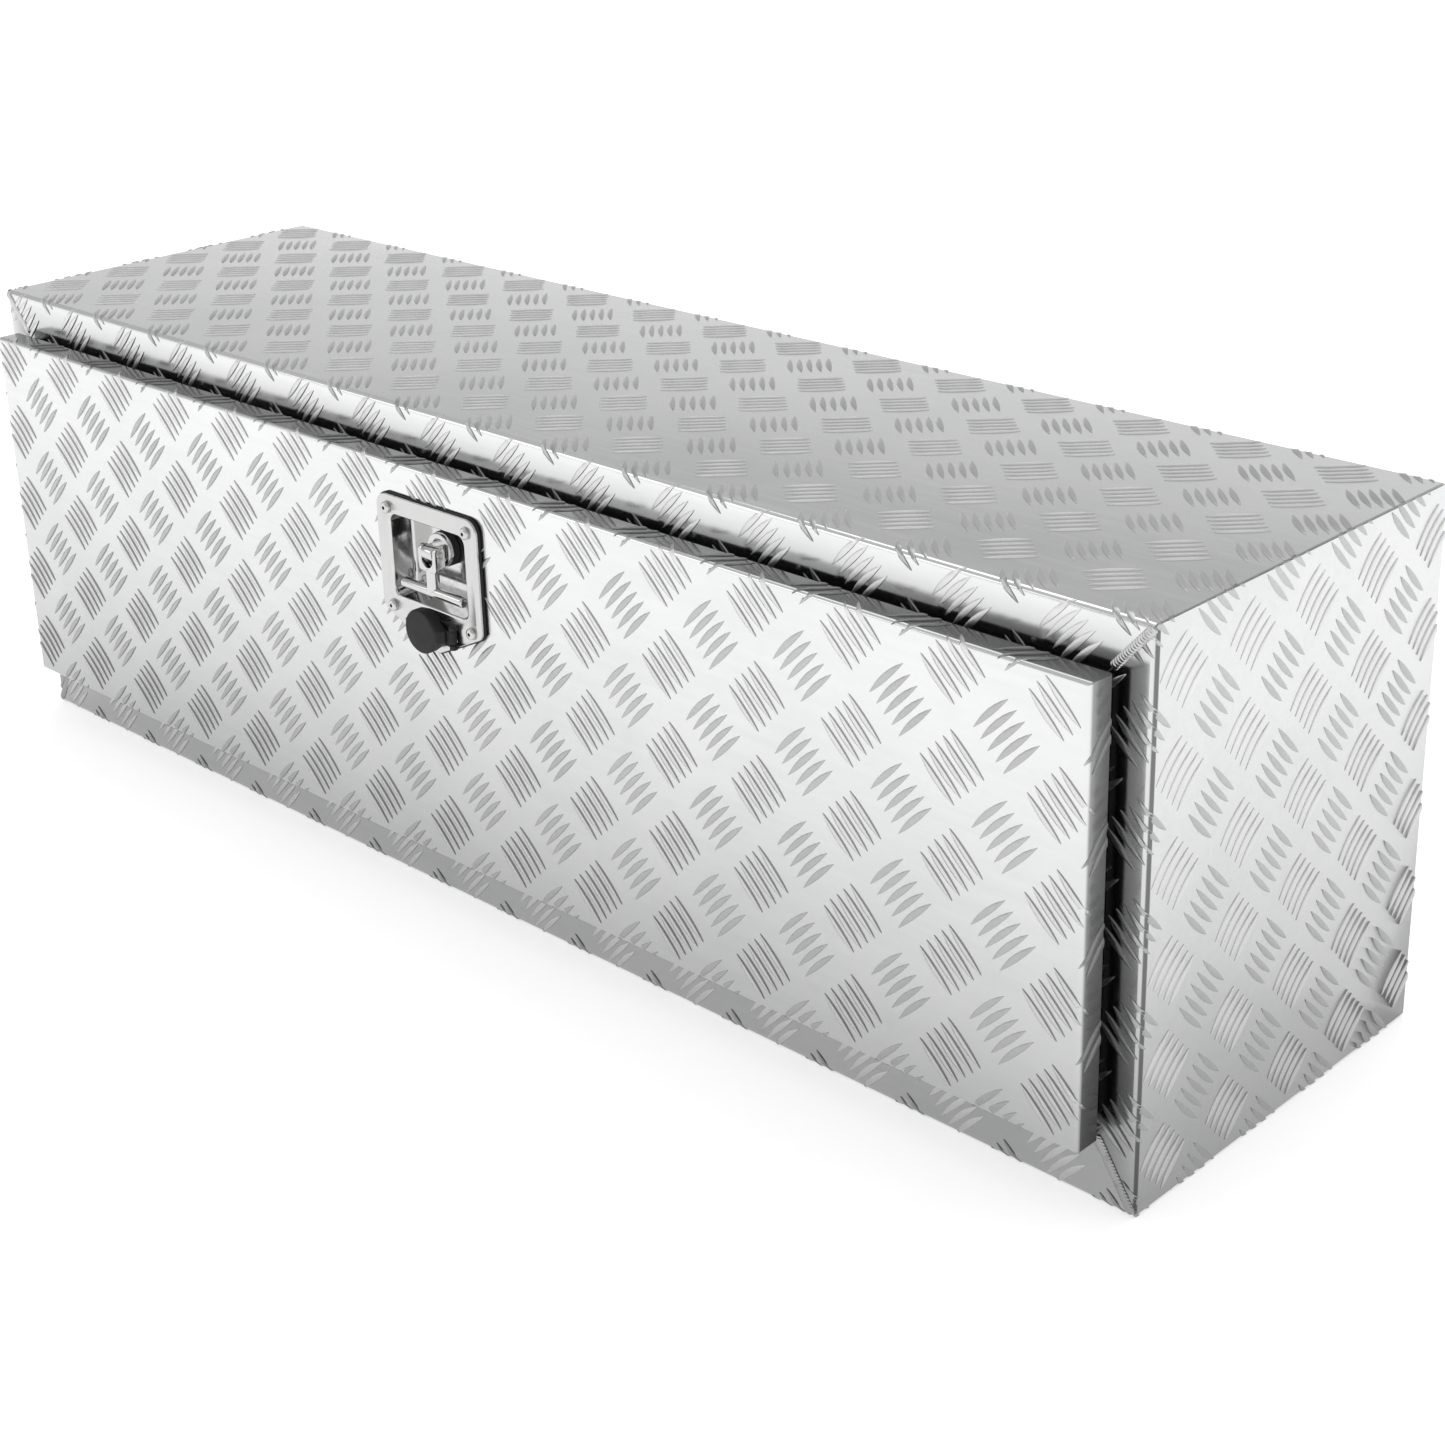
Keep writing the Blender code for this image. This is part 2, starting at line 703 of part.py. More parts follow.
def build_stay_door_end(name, side, door, pivot):
    """The angle bracket inside the door's pan and the rivet that the arm turns on."""

    def span(near, far):
        return sorted((side * near, side * far))

    tab_near = STAY_PLANE + STAY_THICKNESS / 2 + 1.4 * MM
    tab_far = tab_near + 2.5 * MM
    foot_back = DOOR_FRONT - SHEET - GAP
    low, high = pivot.y - 11 * MM, pivot.y + 11 * MM
    x0, x1 = span(tab_near, tab_far)
    tab = block(x0, x1, out(foot_back), out(STAY_PIVOT_OUT - 8 * MM), low, high)
    bracket = piece(f"{name}_stay_bracket", tab, "zinc_steel", door, True)
    x0, x1 = span(tab_near, DOOR_HALF - SHEET - 2 * MM)
    foot = block(x0, x1, out(foot_back), out(foot_back - 2.5 * MM), low, high)
    join(bracket, "foot", foot)
    shank = 3 * MM
    x0, x1 = span(STAY_PLANE - 6 * MM, tab_far + 3 * MM)
    cut(bracket, "hole", rod("X", pivot, shank + GAP, x0, x1, sides=24))
    inner_head = STAY_PLANE - STAY_THICKNESS / 2 - GAP
    profile = [
        (inner_head - 2.4 * MM, 4 * MM),
        (inner_head - 1.6 * MM, 5.5 * MM),
        (inner_head, 5.5 * MM),
        (inner_head, shank),
        (tab_far + GAP, shank),
        (tab_far + GAP, 4.6 * MM),
        (tab_far + 1.6 * MM, 3.6 * MM),
    ]
    rivet = turned("X", pivot, [(side * c, r) for c, r in profile], 24)
    piece(f"{name}_stay_rivet", rivet, "zinc_steel", door, True)


def build_stay_stud(name, side, root, stud):
    """The headed stud that stands inwards from the frame's lip, and the nut outside the lip."""
    lip_inner = OPENING_HALF
    lip_outer = OPENING_HALF + SHEET
    arm_inner = STAY_PLANE - STAY_THICKNESS / 2
    arm_outer = STAY_PLANE + STAY_THICKNESS / 2
    thread = 3 * MM
    profile = [
        (arm_inner - 3.2 * MM, 5.6 * MM),
        (arm_inner - 2.4 * MM, 7 * MM),
        (arm_inner - 0.5 * MM, 7 * MM),
        (arm_inner - 0.5 * MM, STUD_RADIUS),
        (arm_outer + 0.5 * MM, STUD_RADIUS),
        (arm_outer + 0.5 * MM, 7 * MM),
        (lip_inner - GAP, 7 * MM),
        (lip_inner - GAP, thread),
        (lip_outer + 9 * MM, thread),
    ]
    body = turned("X", stud, [(side * c, r) for c, r in profile], 24)
    piece(f"{name}_stay_stud", body, "zinc_steel", root, True)
    panel = bpy.data.objects[f"{name}_end_panel"]
    x0, x1 = sorted((side * (lip_inner - MM), side * (lip_outer + MM)))
    cut(panel, "stud_hole", rod("X", stud, thread + GAP, x0, x1, sides=24))
    x0, x1 = sorted((side * (lip_outer + GAP), side * (lip_outer + 5.5 * MM)))
    nut = piece(
        f"{name}_stay_nut", prism("X", circle(stud, 5.8 * MM, 6), x0, x1), "zinc_steel", root
    )
    cut(nut, "bore", rod("X", stud, thread + GAP, x0 - MM, x1 + MM, sides=24))


# ---------------------------------------------------------------- latch


def plate_screw_places():
    """The four screws of the latch plate, in X and Z."""
    return [
        (side * PLATE_SCREW_X, z)
        for z in (PLATE_SCREW_TOP, PLATE_SCREW_BOTTOM)
        for side in (-1, 1)
    ]


def dish_loop(shrink, depth, grow=0.0):
    """The dish's rounded outline at a depth, smaller by shrink and thicker by grow."""
    change = grow - shrink
    outline = rounded_rectangle(
        -DISH_HALF - change,
        DISH_HALF + change,
        DISH_BOTTOM - change,
        DISH_TOP + change,
        DISH_RADIUS + grow,
    )
    return [(a, out(depth), b) for a, b in outline]


def build_latch_plate(door):
    """The gasket, the pressed plate with its dish, its screws and their nuts."""
    dish_floor = PLATE_FRONT - DISH_DEPTH
    gasket = piece(
        "latch_gasket",
        prism("Y", plate_outline(GASKET_GROW), out(GASKET_FRONT), out(GASKET_BACK)),
        "seal_rubber",
        door,
    )
    ends = (GASKET_FRONT + MM, DOOR_FRONT - MM)
    hole = loft([dish_loop(0, depth, DISH_WALL + 0.6 * MM) for depth in ends])
    cut(gasket, "dish_hole", hole)
    dish = piece(
        "latch_dish",
        prism("Y", plate_outline(), out(PLATE_FRONT), out(PLATE_BACK)),
        "stainless_steel",
        door,
        True,
    )
    bowl = loft(
        [
            dish_loop(0, PLATE_FRONT - 0.5 * MM, DISH_WALL),
            dish_loop(DISH_TAPER, dish_floor - DISH_WALL, DISH_WALL),
        ]
    )
    join(dish, "bowl", bowl)
    hollow = loft([dish_loop(0, PLATE_FRONT + MM), dish_loop(DISH_TAPER, dish_floor)])
    cut(dish, "hollow", hollow)
    through = (out(PLATE_FRONT + MM), out(dish_floor - DISH_WALL - MM))
    cut(dish, "spindle_hole", rod("Y", (0, SPINDLE_Z), SPINDLE_RADIUS + GAP, *through))
    cut(dish, "lock_hole", rod("Y", (0, LOCK_Z), LOCK_RADIUS + GAP, *through))
    cut(gasket, "lock_hole", rod("Y", (0, LOCK_Z), LOCK_RADIUS + GAP, *through))
    nut_front = DOOR_FRONT - SHEET - GAP
    for number, (x, z) in enumerate(plate_screw_places()):
        for target in (gasket, dish):
            hole = rod("Y", (x, z), SCREW_RADIUS + GAP, *through, sides=24)
            cut(target, f"screw_hole_{number}", hole)
        head_back = PLATE_FRONT + GAP
        profile = [
            (out(head_back + 2.4 * MM), 2.6 * MM),
            (out(head_back + 1.7 * MM), 4 * MM),
            (out(head_back + 0.5 * MM), SCREW_HEAD_RADIUS),
            (out(head_back), SCREW_HEAD_RADIUS),
            (out(head_back), SCREW_RADIUS),
            (out(nut_front - 6 * MM), SCREW_RADIUS),
        ]
        body = turned("Y", (x, z), profile, 16)
        screw = piece(f"plate_screw_{number + 1}", body, "stainless_steel", door, True)
        hexagon = circle((x, z), 1.5 * MM, 6)
        cut(screw, "socket", prism("Y", hexagon, out(head_back + 4 * MM), out(head_back + 0.6 * MM)))
        nut = piece(
            f"plate_nut_{number + 1}",
            prism("Y", circle((x, z), 4.6 * MM, 6), out(nut_front), out(nut_front - 4 * MM)),
            "zinc_steel",
            door,
        )
        ends = (out(nut_front + MM), out(nut_front - 5 * MM))
        cut(nut, "bore", rod("Y", (x, z), SCREW_RADIUS + GAP, *ends, sides=16))


def build_housing(door):
    """The cast housing behind the dish, which the spindle turns in, and the screws that hold it."""
    front = PLATE_FRONT - DISH_DEPTH - DISH_WALL - GAP
    flange = 3 * MM
    half = DISH_SCREW_X + 7 * MM
    low = DISH_SCREW_Z - 6 * MM
    flange_outline = rounded_rectangle(-half, half, low, SPINDLE_Z + 14 * MM, 6 * MM)
    housing = piece(
        "spindle_housing",
        prism("Y", flange_outline, out(front), out(front - flange)),
        "zinc_steel",
        door,
        True,
    )
    tube = rod("Y", (0, SPINDLE_Z), HOUSING_RADIUS, out(front - MM), out(-HOUSING_IN))
    join(housing, "tube", tube)
    bore = rod("Y", (0, SPINDLE_Z), SPINDLE_RADIUS + GAP, out(front + MM), out(-HOUSING_IN - MM))
    cut(housing, "bore", bore)
    floor = PLATE_FRONT - DISH_DEPTH
    for name, side in SIDES:
        spot = (side * DISH_SCREW_X, DISH_SCREW_Z)
        profile = [
            (out(floor + GAP + 1.8 * MM), 2 * MM),
            (out(floor + GAP + 1 * MM), 3.4 * MM),
            (out(floor + GAP), 3.6 * MM),
            (out(floor + GAP), 1.9 * MM),
            (out(front - flange - 4 * MM), 1.9 * MM),
        ]
        screw = turned("Y", spot, profile, 16)
        piece(f"housing_screw_{name}", screw, "zinc_steel", door, True)
        for target in (bpy.data.objects["latch_dish"], housing):
            ends = (out(floor + MM), out(front - flange - MM))
            hole = rod("Y", spot, 1.9 * MM + GAP, *ends, sides=16)
            cut(target, f"housing_screw_hole_{name}", hole)
    ring_front = floor + GAP + RING_THICKNESS
    ring = piece(
        "spindle_ring",
        rod("Y", (0, SPINDLE_Z), RING_RADIUS, out(ring_front), out(floor + GAP), 0.6 * MM),
        "seal_rubber",
        door,
        True,
    )
    bore = rod("Y", (0, SPINDLE_Z), SPINDLE_RADIUS + GAP, out(ring_front + MM), out(floor - MM))
    cut(ring, "bore", bore)


def build_spindle(spindle):
    """The spindle with its flange and tongue, the cam on its inner end, a washer and a nut."""
    back = PLATE_FRONT - DISH_DEPTH + GAP + RING_THICKNESS + GAP
    front = back + SPINDLE_FLANGE
    end_in = CAM_IN + CAM_THICKNESS + 10 * MM
    square = 4.2 * MM
    body = piece(
        "spindle",
        turned(
            "Y",
            (0, SPINDLE_Z),
            [
                (out(front), SPINDLE_FLANGE_RADIUS - 0.8 * MM),
                (out(front - 0.8 * MM), SPINDLE_FLANGE_RADIUS),
                (out(back), SPINDLE_FLANGE_RADIUS),
                (out(back), SPINDLE_RADIUS),
                (out(-CAM_IN + GAP), SPINDLE_RADIUS),
                (out(-CAM_IN + GAP), square),
                (out(-end_in), square),
            ],
        ),
        "stainless_steel",
        spindle,
        True,
    )
    nose = arc((out(FORK_PIN_OUT), SPINDLE_Z), TONGUE_RADIUS, 90, 270, 12)
    root_y = out(front - MM)
    tongue = nose + [(root_y, SPINDLE_Z - TONGUE_RADIUS), (root_y, SPINDLE_Z + TONGUE_RADIUS)]
    join(body, "tongue", prism("X", tongue, -TONGUE_HALF, TONGUE_HALF))
    pin_line = (out(FORK_PIN_OUT), SPINDLE_Z)
    bore = rod("X", pin_line, FORK_PIN_RADIUS + 0.25 * MM, -FORK_HALF, FORK_HALF, sides=24)
    cut(body, "pin_bore", bore)
    half = CAM_WIDTH / 2
    tip_radius = 6 * MM
    tip = SPINDLE_Z + CAM_REACH - tip_radius
    cam_outline = arc((0, SPINDLE_Z), half, 180, 360, 12) + arc((0, tip), tip_radius, 0, 180, 10)
    cam = piece(
        "cam",
        prism("Y", cam_outline, out(-CAM_IN), out(-CAM_IN - CAM_THICKNESS)),
        "zinc_steel",
        spindle,
    )
    bore = rod("Y", (0, SPINDLE_Z), square + GAP, out(-CAM_IN + MM), out(-end_in), sides=24)
    cut(cam, "bore", bore)
    washer_in = CAM_IN + CAM_THICKNESS + GAP
    nut_in = washer_in + 1.2 * MM + GAP
    washer = piece(
        "cam_washer",
        rod("Y", (0, SPINDLE_Z), 8.5 * MM, out(-washer_in), out(-washer_in - 1.2 * MM)),
        "zinc_steel",
        spindle,
        True,
    )
    nut = piece(
        "cam_nut",
        prism("Y", circle((0, SPINDLE_Z), 7.5 * MM, 6), out(-nut_in), out(-nut_in - 5.5 * MM)),
        "zinc_steel",
        spindle,
    )
    for target in (washer, nut):
        bore = rod("Y", (0, SPINDLE_Z), square + GAP, out(-CAM_IN), out(-end_in - MM), sides=24)
        cut(target, "bore", bore)


def build_handle(handle):
    """The fork with its shank, the pin through its cheeks, and the T-bar."""
    pin_y = out(FORK_PIN_OUT)
    top = SPINDLE_Z + FORK_ABOVE - FORK_DEPTH
    bottom = SPINDLE_Z - FORK_BELOW
    outline = arc((pin_y, top), FORK_DEPTH, 0, 180, 10)
    outline += [(pin_y - FORK_DEPTH, bottom + MM), (pin_y - FORK_DEPTH + MM, bottom)]
    outline += [(pin_y + FORK_DEPTH - MM, bottom), (pin_y + FORK_DEPTH, bottom + MM)]
    cheeks = prism("X", outline, -FORK_HALF, FORK_HALF)
    fork = piece("handle_fork", cheeks, "stainless_steel", handle, True)
    inner = FORK_HALF - FORK_CHEEK
    crotch = SPINDLE_Z - FORK_CROTCH
    throat = arc((0, crotch + inner - 2 * MM), inner, 180, 360, 12)
    throat += [(inner, SPINDLE_Z + 12 * MM), (-inner, SPINDLE_Z + 12 * MM)]
    cut(fork, "throat", prism("Y", throat, pin_y - 8 * MM, pin_y + 8 * MM))
    bar_z = SPINDLE_Z - BAR_DROP
    join(fork, "shank", rod("Z", (0, pin_y), SHANK_RADIUS, bar_z, bottom + 1.5 * MM))
    saddle = rod("X", (pin_y, bar_z), BAR_RADIUS + GAP, -BAR_HALF, BAR_HALF)
    cut(fork, "saddle", saddle)
    below = block(
        -FORK_HALF, FORK_HALF, pin_y - 8 * MM, pin_y + 8 * MM, bar_z - 8 * MM, bar_z + 2 * MM
    )
    cut(fork, "below_saddle", below)
    pin_line = (pin_y, SPINDLE_Z)
    bore = rod("X", pin_line, FORK_PIN_RADIUS + 0.15 * MM, -FORK_HALF - MM, FORK_HALF + MM)
    cut(fork, "pin_bore", bore)
    pin_half = FORK_HALF + 0.4 * MM
    pin = rod("X", pin_line, FORK_PIN_RADIUS, -pin_half, pin_half, 0.4 * MM)
    piece("handle_pin", pin, "stainless_steel", handle, True)
    bar = rod("X", (pin_y, bar_z), BAR_RADIUS, -BAR_HALF, BAR_HALF, 1.2 * MM)
    piece("t_bar", bar, "stainless_steel", handle, True)


def build_lock(door, plug_pivot):
    """The lock's cylinder and nut on the door, and the plug with its tail, which a key turns."""
    flange_back = PLATE_FRONT + GAP
    flange_front = flange_back + LOCK_FLANGE
    centre = (0, LOCK_Z)
    cylinder = piece(
        "lock_cylinder",
        turned(
            "Y",
            centre,
            [
                (out(flange_front), LOCK_FLANGE_RADIUS - 0.6 * MM),
                (out(flange_front - 0.6 * MM), LOCK_FLANGE_RADIUS),
                (out(flange_back), LOCK_FLANGE_RADIUS),
                (out(flange_back), LOCK_RADIUS),
                (out(LOCK_BACK), LOCK_RADIUS),
            ],
        ),
        "stainless_steel",
        door,
        True,
    )
    bore = rod("Y", centre, PLUG_RADIUS + GAP, out(flange_front + MM), out(LOCK_BACK - MM))
    cut(cylinder, "bore", bore)
    nut_front = DOOR_FRONT - SHEET - GAP
    nut = piece(
        "lock_nut",
        prism("Y", circle(centre, 13 * MM, 6), out(nut_front), out(nut_front - 4 * MM)),
        "zinc_steel",
        door,
    )
    bore = rod("Y", centre, LOCK_RADIUS + GAP, out(nut_front + MM), out(nut_front - 5 * MM))
    cut(nut, "bore", bore)
    plug_ends = (out(flange_front - 0.4 * MM), out(LOCK_BACK - 2 * MM))
    body = rod("Y", centre, PLUG_RADIUS, *plug_ends, 0.4 * MM)
    plug = piece("lock_plug", body, "lock_brass", plug_pivot, True)
    keyway = rectangle(-0.7 * MM, 0.7 * MM, LOCK_Z - 3.6 * MM, LOCK_Z + 3.6 * MM)
    cut(plug, "keyway", prism("Y", keyway, out(flange_front + MM), out(flange_front - 9 * MM)))
    tail_front = LOCK_BACK - 2 * MM - GAP
    half = 5 * MM
    tip = LOCK_Z + TAIL_LENGTH - half
    outline = arc(centre, half, 180, 360, 10) + arc((0, tip), half, 0, 180, 10)
    piece(
        "lock_tail",
        prism("Y", outline, out(tail_front), out(tail_front - 2.5 * MM)),
        "zinc_steel",
        plug_pivot,
    )


def cap_outline(far, half_end):
    """Round on the left, with two straight sides that close in on a flat right end."""
    round_part = arc((0, LOCK_Z), CAP_RADIUS, 55, 305, 20)
    return round_part + [(far, LOCK_Z - half_end), (far, LOCK_Z + half_end)]


def build_cap(door, cap_pivot):
    """The rubber collar round the lock, and the cap that flips on its pin, with a finger tab."""
    collar_back = PLATE_FRONT + GAP
    collar_front = CAP_BACK - 0.4 * MM
    collar = piece(
        "cap_collar",
        rod("Y", (0, LOCK_Z), 15 * MM, out(collar_front), out(collar_back)),
        "cap_rubber",
        door,
        True,
    )
    ear_low, ear_high = 5.4 * MM, 9 * MM
    ear_radius = CAP_KNUCKLE_RADIUS + 0.5 * MM
    arm = block(
        8 * MM,
        CAP_HINGE_X + 2 * MM,
        out(collar_front - 1.6 * MM),
        out(collar_back),
        LOCK_Z - ear_high,
        LOCK_Z + ear_high,
    )
    join(collar, "arm", arm)
    hinge_line = (CAP_HINGE_X, out(CAP_HINGE_OUT))
    for name, sign in (("upper", 1), ("lower", -1)):
        z0, z1 = sorted((LOCK_Z + sign * ear_low, LOCK_Z + sign * ear_high))
        join(collar, f"{name}_ear", rod("Z", hinge_line, ear_radius, z0, z1, sides=20))
    between = block(
        CAP_HINGE_X - 4 * MM,
        CAP_HINGE_X + 5 * MM,
        out(PLATE_FRONT + 9 * MM),
        out(PLATE_FRONT - MM),
        LOCK_Z - ear_low,
        LOCK_Z + ear_low,
    )
    cut(collar, "between_ears", between)
    hole = rod("Y", (0, LOCK_Z), LOCK_FLANGE_RADIUS + GAP, out(CAP_FRONT), out(PLATE_FRONT - MM))
    cut(collar, "lock_hole", hole)
    pin_bore = rod("Z", hinge_line, 1.3 * MM, LOCK_Z - 12 * MM, LOCK_Z + 12 * MM, sides=16)
    cut(collar, "pin_bore", pin_bore)
    pin = rod("Z", hinge_line, MM, LOCK_Z - ear_high, LOCK_Z + ear_high, sides=16)
    piece("cap_pin", pin, "zinc_steel", door, True)
    loops = []
    for depth, far, half_end in (
        (CAP_BACK, 23 * MM, 5 * MM),
        (CAP_BACK + 3 * MM, 23 * MM, 5 * MM),
        (CAP_FRONT - MM, 19 * MM, 5 * MM),
    ):
        loops.append([(a, out(depth), b) for a, b in cap_outline(far, half_end)])
    rim = [(a * 0.93, b) for a, b in cap_outline(19 * MM, 5 * MM)]
    loops.append([(a, out(CAP_FRONT), LOCK_Z + (b - LOCK_Z) * 0.93) for a, b in rim])
    cap = piece("lock_cap", loft(loops), "cap_rubber", cap_pivot, True)
    tab = block(
        -CAP_RADIUS - 4.5 * MM,
        -CAP_RADIUS + 3 * MM,
        out(CAP_BACK + 4 * MM),
        out(CAP_BACK),
        LOCK_Z - 5 * MM,
        LOCK_Z + 5 * MM,
    )
    join(cap, "tab", tab)
    knuckle_half = ear_low - 0.4 * MM
    ends = (LOCK_Z - knuckle_half, LOCK_Z + knuckle_half)
    join(cap, "knuckle", rod("Z", hinge_line, CAP_KNUCKLE_RADIUS, *ends, sides=20))
    web = block(
        20 * MM,
        CAP_HINGE_X,
        out(CAP_HINGE_OUT + CAP_KNUCKLE_RADIUS - 0.05 * MM),
        out(CAP_BACK),
        LOCK_Z - knuckle_half,
        LOCK_Z + knuckle_half,
    )
    join(cap, "web", web)
    cut(cap, "pin_bore", rod("Z", hinge_line, 1.3 * MM, LOCK_Z - 8 * MM, LOCK_Z + 8 * MM, sides=16))
    ends = (out(CAP_FRONT - 4 * MM), out(CAP_BACK - MM))
    cut(cap, "hollow", rod("Y", (0, LOCK_Z), LOCK_FLANGE_RADIUS + MM, *ends))


def build_strike(root):
    """The steel angle on the lip that the cam bears against, with its vertical leg behind the lip."""
    half = 45 * MM
    seat = OPENING_TOP + SHEET + GAP
    behind = LIP_DEPTH + GAP
    strike = piece(
        "strike_plate",
        block(-half, half, FRAME_Y + 6 * MM, FRAME_Y + behind + SHEET, seat, seat + SHEET),
        "zinc_steel",
        root,
    )
    leg = block(
        -half, half, FRAME_Y + behind, FRAME_Y + behind + SHEET, OPENING_TOP, seat + SHEET
    )
    join(strike, "leg", leg)


def main():
    """Builds the tool box."""
    for item in list(bpy.data.objects):
        bpy.data.objects.remove(item, do_unlink=True)
    root = Pivot("box_origin", (0, 0, 0))
    door = Pivot("door_axis", (0, out(HINGE_OUT), HINGE_Z))
    spindle = Pivot("spindle_axis", (0, out(FORK_PIN_OUT), SPINDLE_Z), door)
    handle = Pivot("handle_axis", (0, out(FORK_PIN_OUT), SPINDLE_Z), spindle)
    plug = Pivot("plug_axis", (0, out(PLATE_FRONT), LOCK_Z), door)
    cap = Pivot("cap_axis", (CAP_HINGE_X, out(CAP_HINGE_OUT), LOCK_Z), door)
    build_body(root)
    build_strike(root)
    build_hinge(root, door)
    build_door(door)
    build_stays(root, door)
    build_latch_plate(door)
    build_housing(door)
    build_spindle(spindle)
    build_handle(handle)
    build_lock(door, plug)
    build_cap(door, cap)


main()
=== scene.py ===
"""The looks of a tread-plate truck tool box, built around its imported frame.

Each sub-assembly is a class whose dataclass fields hold its sizes and whose methods build and
dress its pieces. Places come from the frame. Metres, +Z up, with the door facing -Y.
"""

from __future__ import annotations

import logging
import math
from dataclasses import dataclass, field
from enum import Enum
from typing import Any, Callable, Sequence

import bmesh
import bpy
import numpy as np
from mathutils import Matrix, Vector

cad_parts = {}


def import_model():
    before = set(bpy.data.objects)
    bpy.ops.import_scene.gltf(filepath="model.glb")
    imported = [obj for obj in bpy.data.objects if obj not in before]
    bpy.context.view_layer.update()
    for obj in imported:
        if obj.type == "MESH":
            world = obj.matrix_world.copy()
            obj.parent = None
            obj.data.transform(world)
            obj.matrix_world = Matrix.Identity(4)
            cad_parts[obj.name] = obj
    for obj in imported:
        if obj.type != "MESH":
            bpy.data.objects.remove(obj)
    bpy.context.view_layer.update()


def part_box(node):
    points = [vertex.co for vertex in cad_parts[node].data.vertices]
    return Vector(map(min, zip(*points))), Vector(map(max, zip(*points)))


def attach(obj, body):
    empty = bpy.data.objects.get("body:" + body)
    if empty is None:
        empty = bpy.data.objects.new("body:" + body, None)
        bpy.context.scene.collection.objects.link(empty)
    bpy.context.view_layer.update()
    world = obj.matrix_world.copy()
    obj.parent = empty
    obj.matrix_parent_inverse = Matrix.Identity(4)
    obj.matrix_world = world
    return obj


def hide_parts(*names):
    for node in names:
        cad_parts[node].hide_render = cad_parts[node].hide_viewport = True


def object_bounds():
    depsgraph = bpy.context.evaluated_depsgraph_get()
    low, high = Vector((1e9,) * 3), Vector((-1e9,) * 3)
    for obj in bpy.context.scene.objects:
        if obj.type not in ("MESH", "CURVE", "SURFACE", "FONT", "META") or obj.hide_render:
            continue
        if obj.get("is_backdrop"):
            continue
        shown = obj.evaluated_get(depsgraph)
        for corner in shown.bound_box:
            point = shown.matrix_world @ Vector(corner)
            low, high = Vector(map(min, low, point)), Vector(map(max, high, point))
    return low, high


MM = 0.001
SEED = 7
SIDES = (("left", -1), ("right", 1))
LOG = logging.getLogger("tool_box")

Point2 = tuple[float, float]
Outline = list[Point2]
Loop = list[tuple[float, float, float]]


class Body(str, Enum):
    """The rigid bodies of the frame."""

    BOX = "box"
    DOOR = "door"
    LEFT_STAY = "left_stay"
    RIGHT_STAY = "right_stay"
    SPINDLE = "spindle"
    HANDLE = "handle"
    PLUG = "lock_plug"
    CAP = "lock_cap"


# ------------------------------------------------------------------ node graphs


class Value:
    """A socket of a node graph. Python's operators on it add Math nodes."""

    def __init__(self, graph: "Graph", socket: bpy.types.NodeSocket) -> None:
        """Keeps the socket and the graph it belongs to."""
        self.graph = graph
        self.socket = socket

    def __add__(self, other: Any) -> "Value":
        """Sum."""
        return self.graph.math("ADD", self, other)

    __radd__ = __add__

    def __sub__(self, other: Any) -> "Value":
        """Difference."""
        return self.graph.math("SUBTRACT", self, other)

    def __rsub__(self, other: Any) -> "Value":
        """Difference, with this value taken away."""
        return self.graph.math("SUBTRACT", other, self)

    def __mul__(self, other: Any) -> "Value":
        """Product."""
        return self.graph.math("MULTIPLY", self, other)

    __rmul__ = __mul__

    def __truediv__(self, other: Any) -> "Value":
        """Quotient."""
        return self.graph.math("DIVIDE", self, other)

    def __mod__(self, other: Any) -> "Value":
        """Remainder, never negative."""
        return self.graph.math("FLOORED_MODULO", self, other)

    def __pow__(self, other: Any) -> "Value":
        """Power."""
        return self.graph.math("POWER", self, other)

    def __abs__(self) -> "Value":
        """Size without sign."""
        return self.graph.math("ABSOLUTE", self)

    def __gt__(self, other: Any) -> "Value":
        """1 where this is greater, 0 elsewhere."""
        return self.graph.math("GREATER_THAN", self, other)

    def __lt__(self, other: Any) -> "Value":
        """1 where this is less, 0 elsewhere."""
        return self.graph.math("LESS_THAN", self, other)

    def floor(self) -> "Value":
        """The whole number below."""
        return self.graph.math("FLOOR", self)

    def out(self, name: str) -> "Value":
        """Another output of the node that this value comes from."""
        return Value(self.graph, self.socket.node.outputs[name])


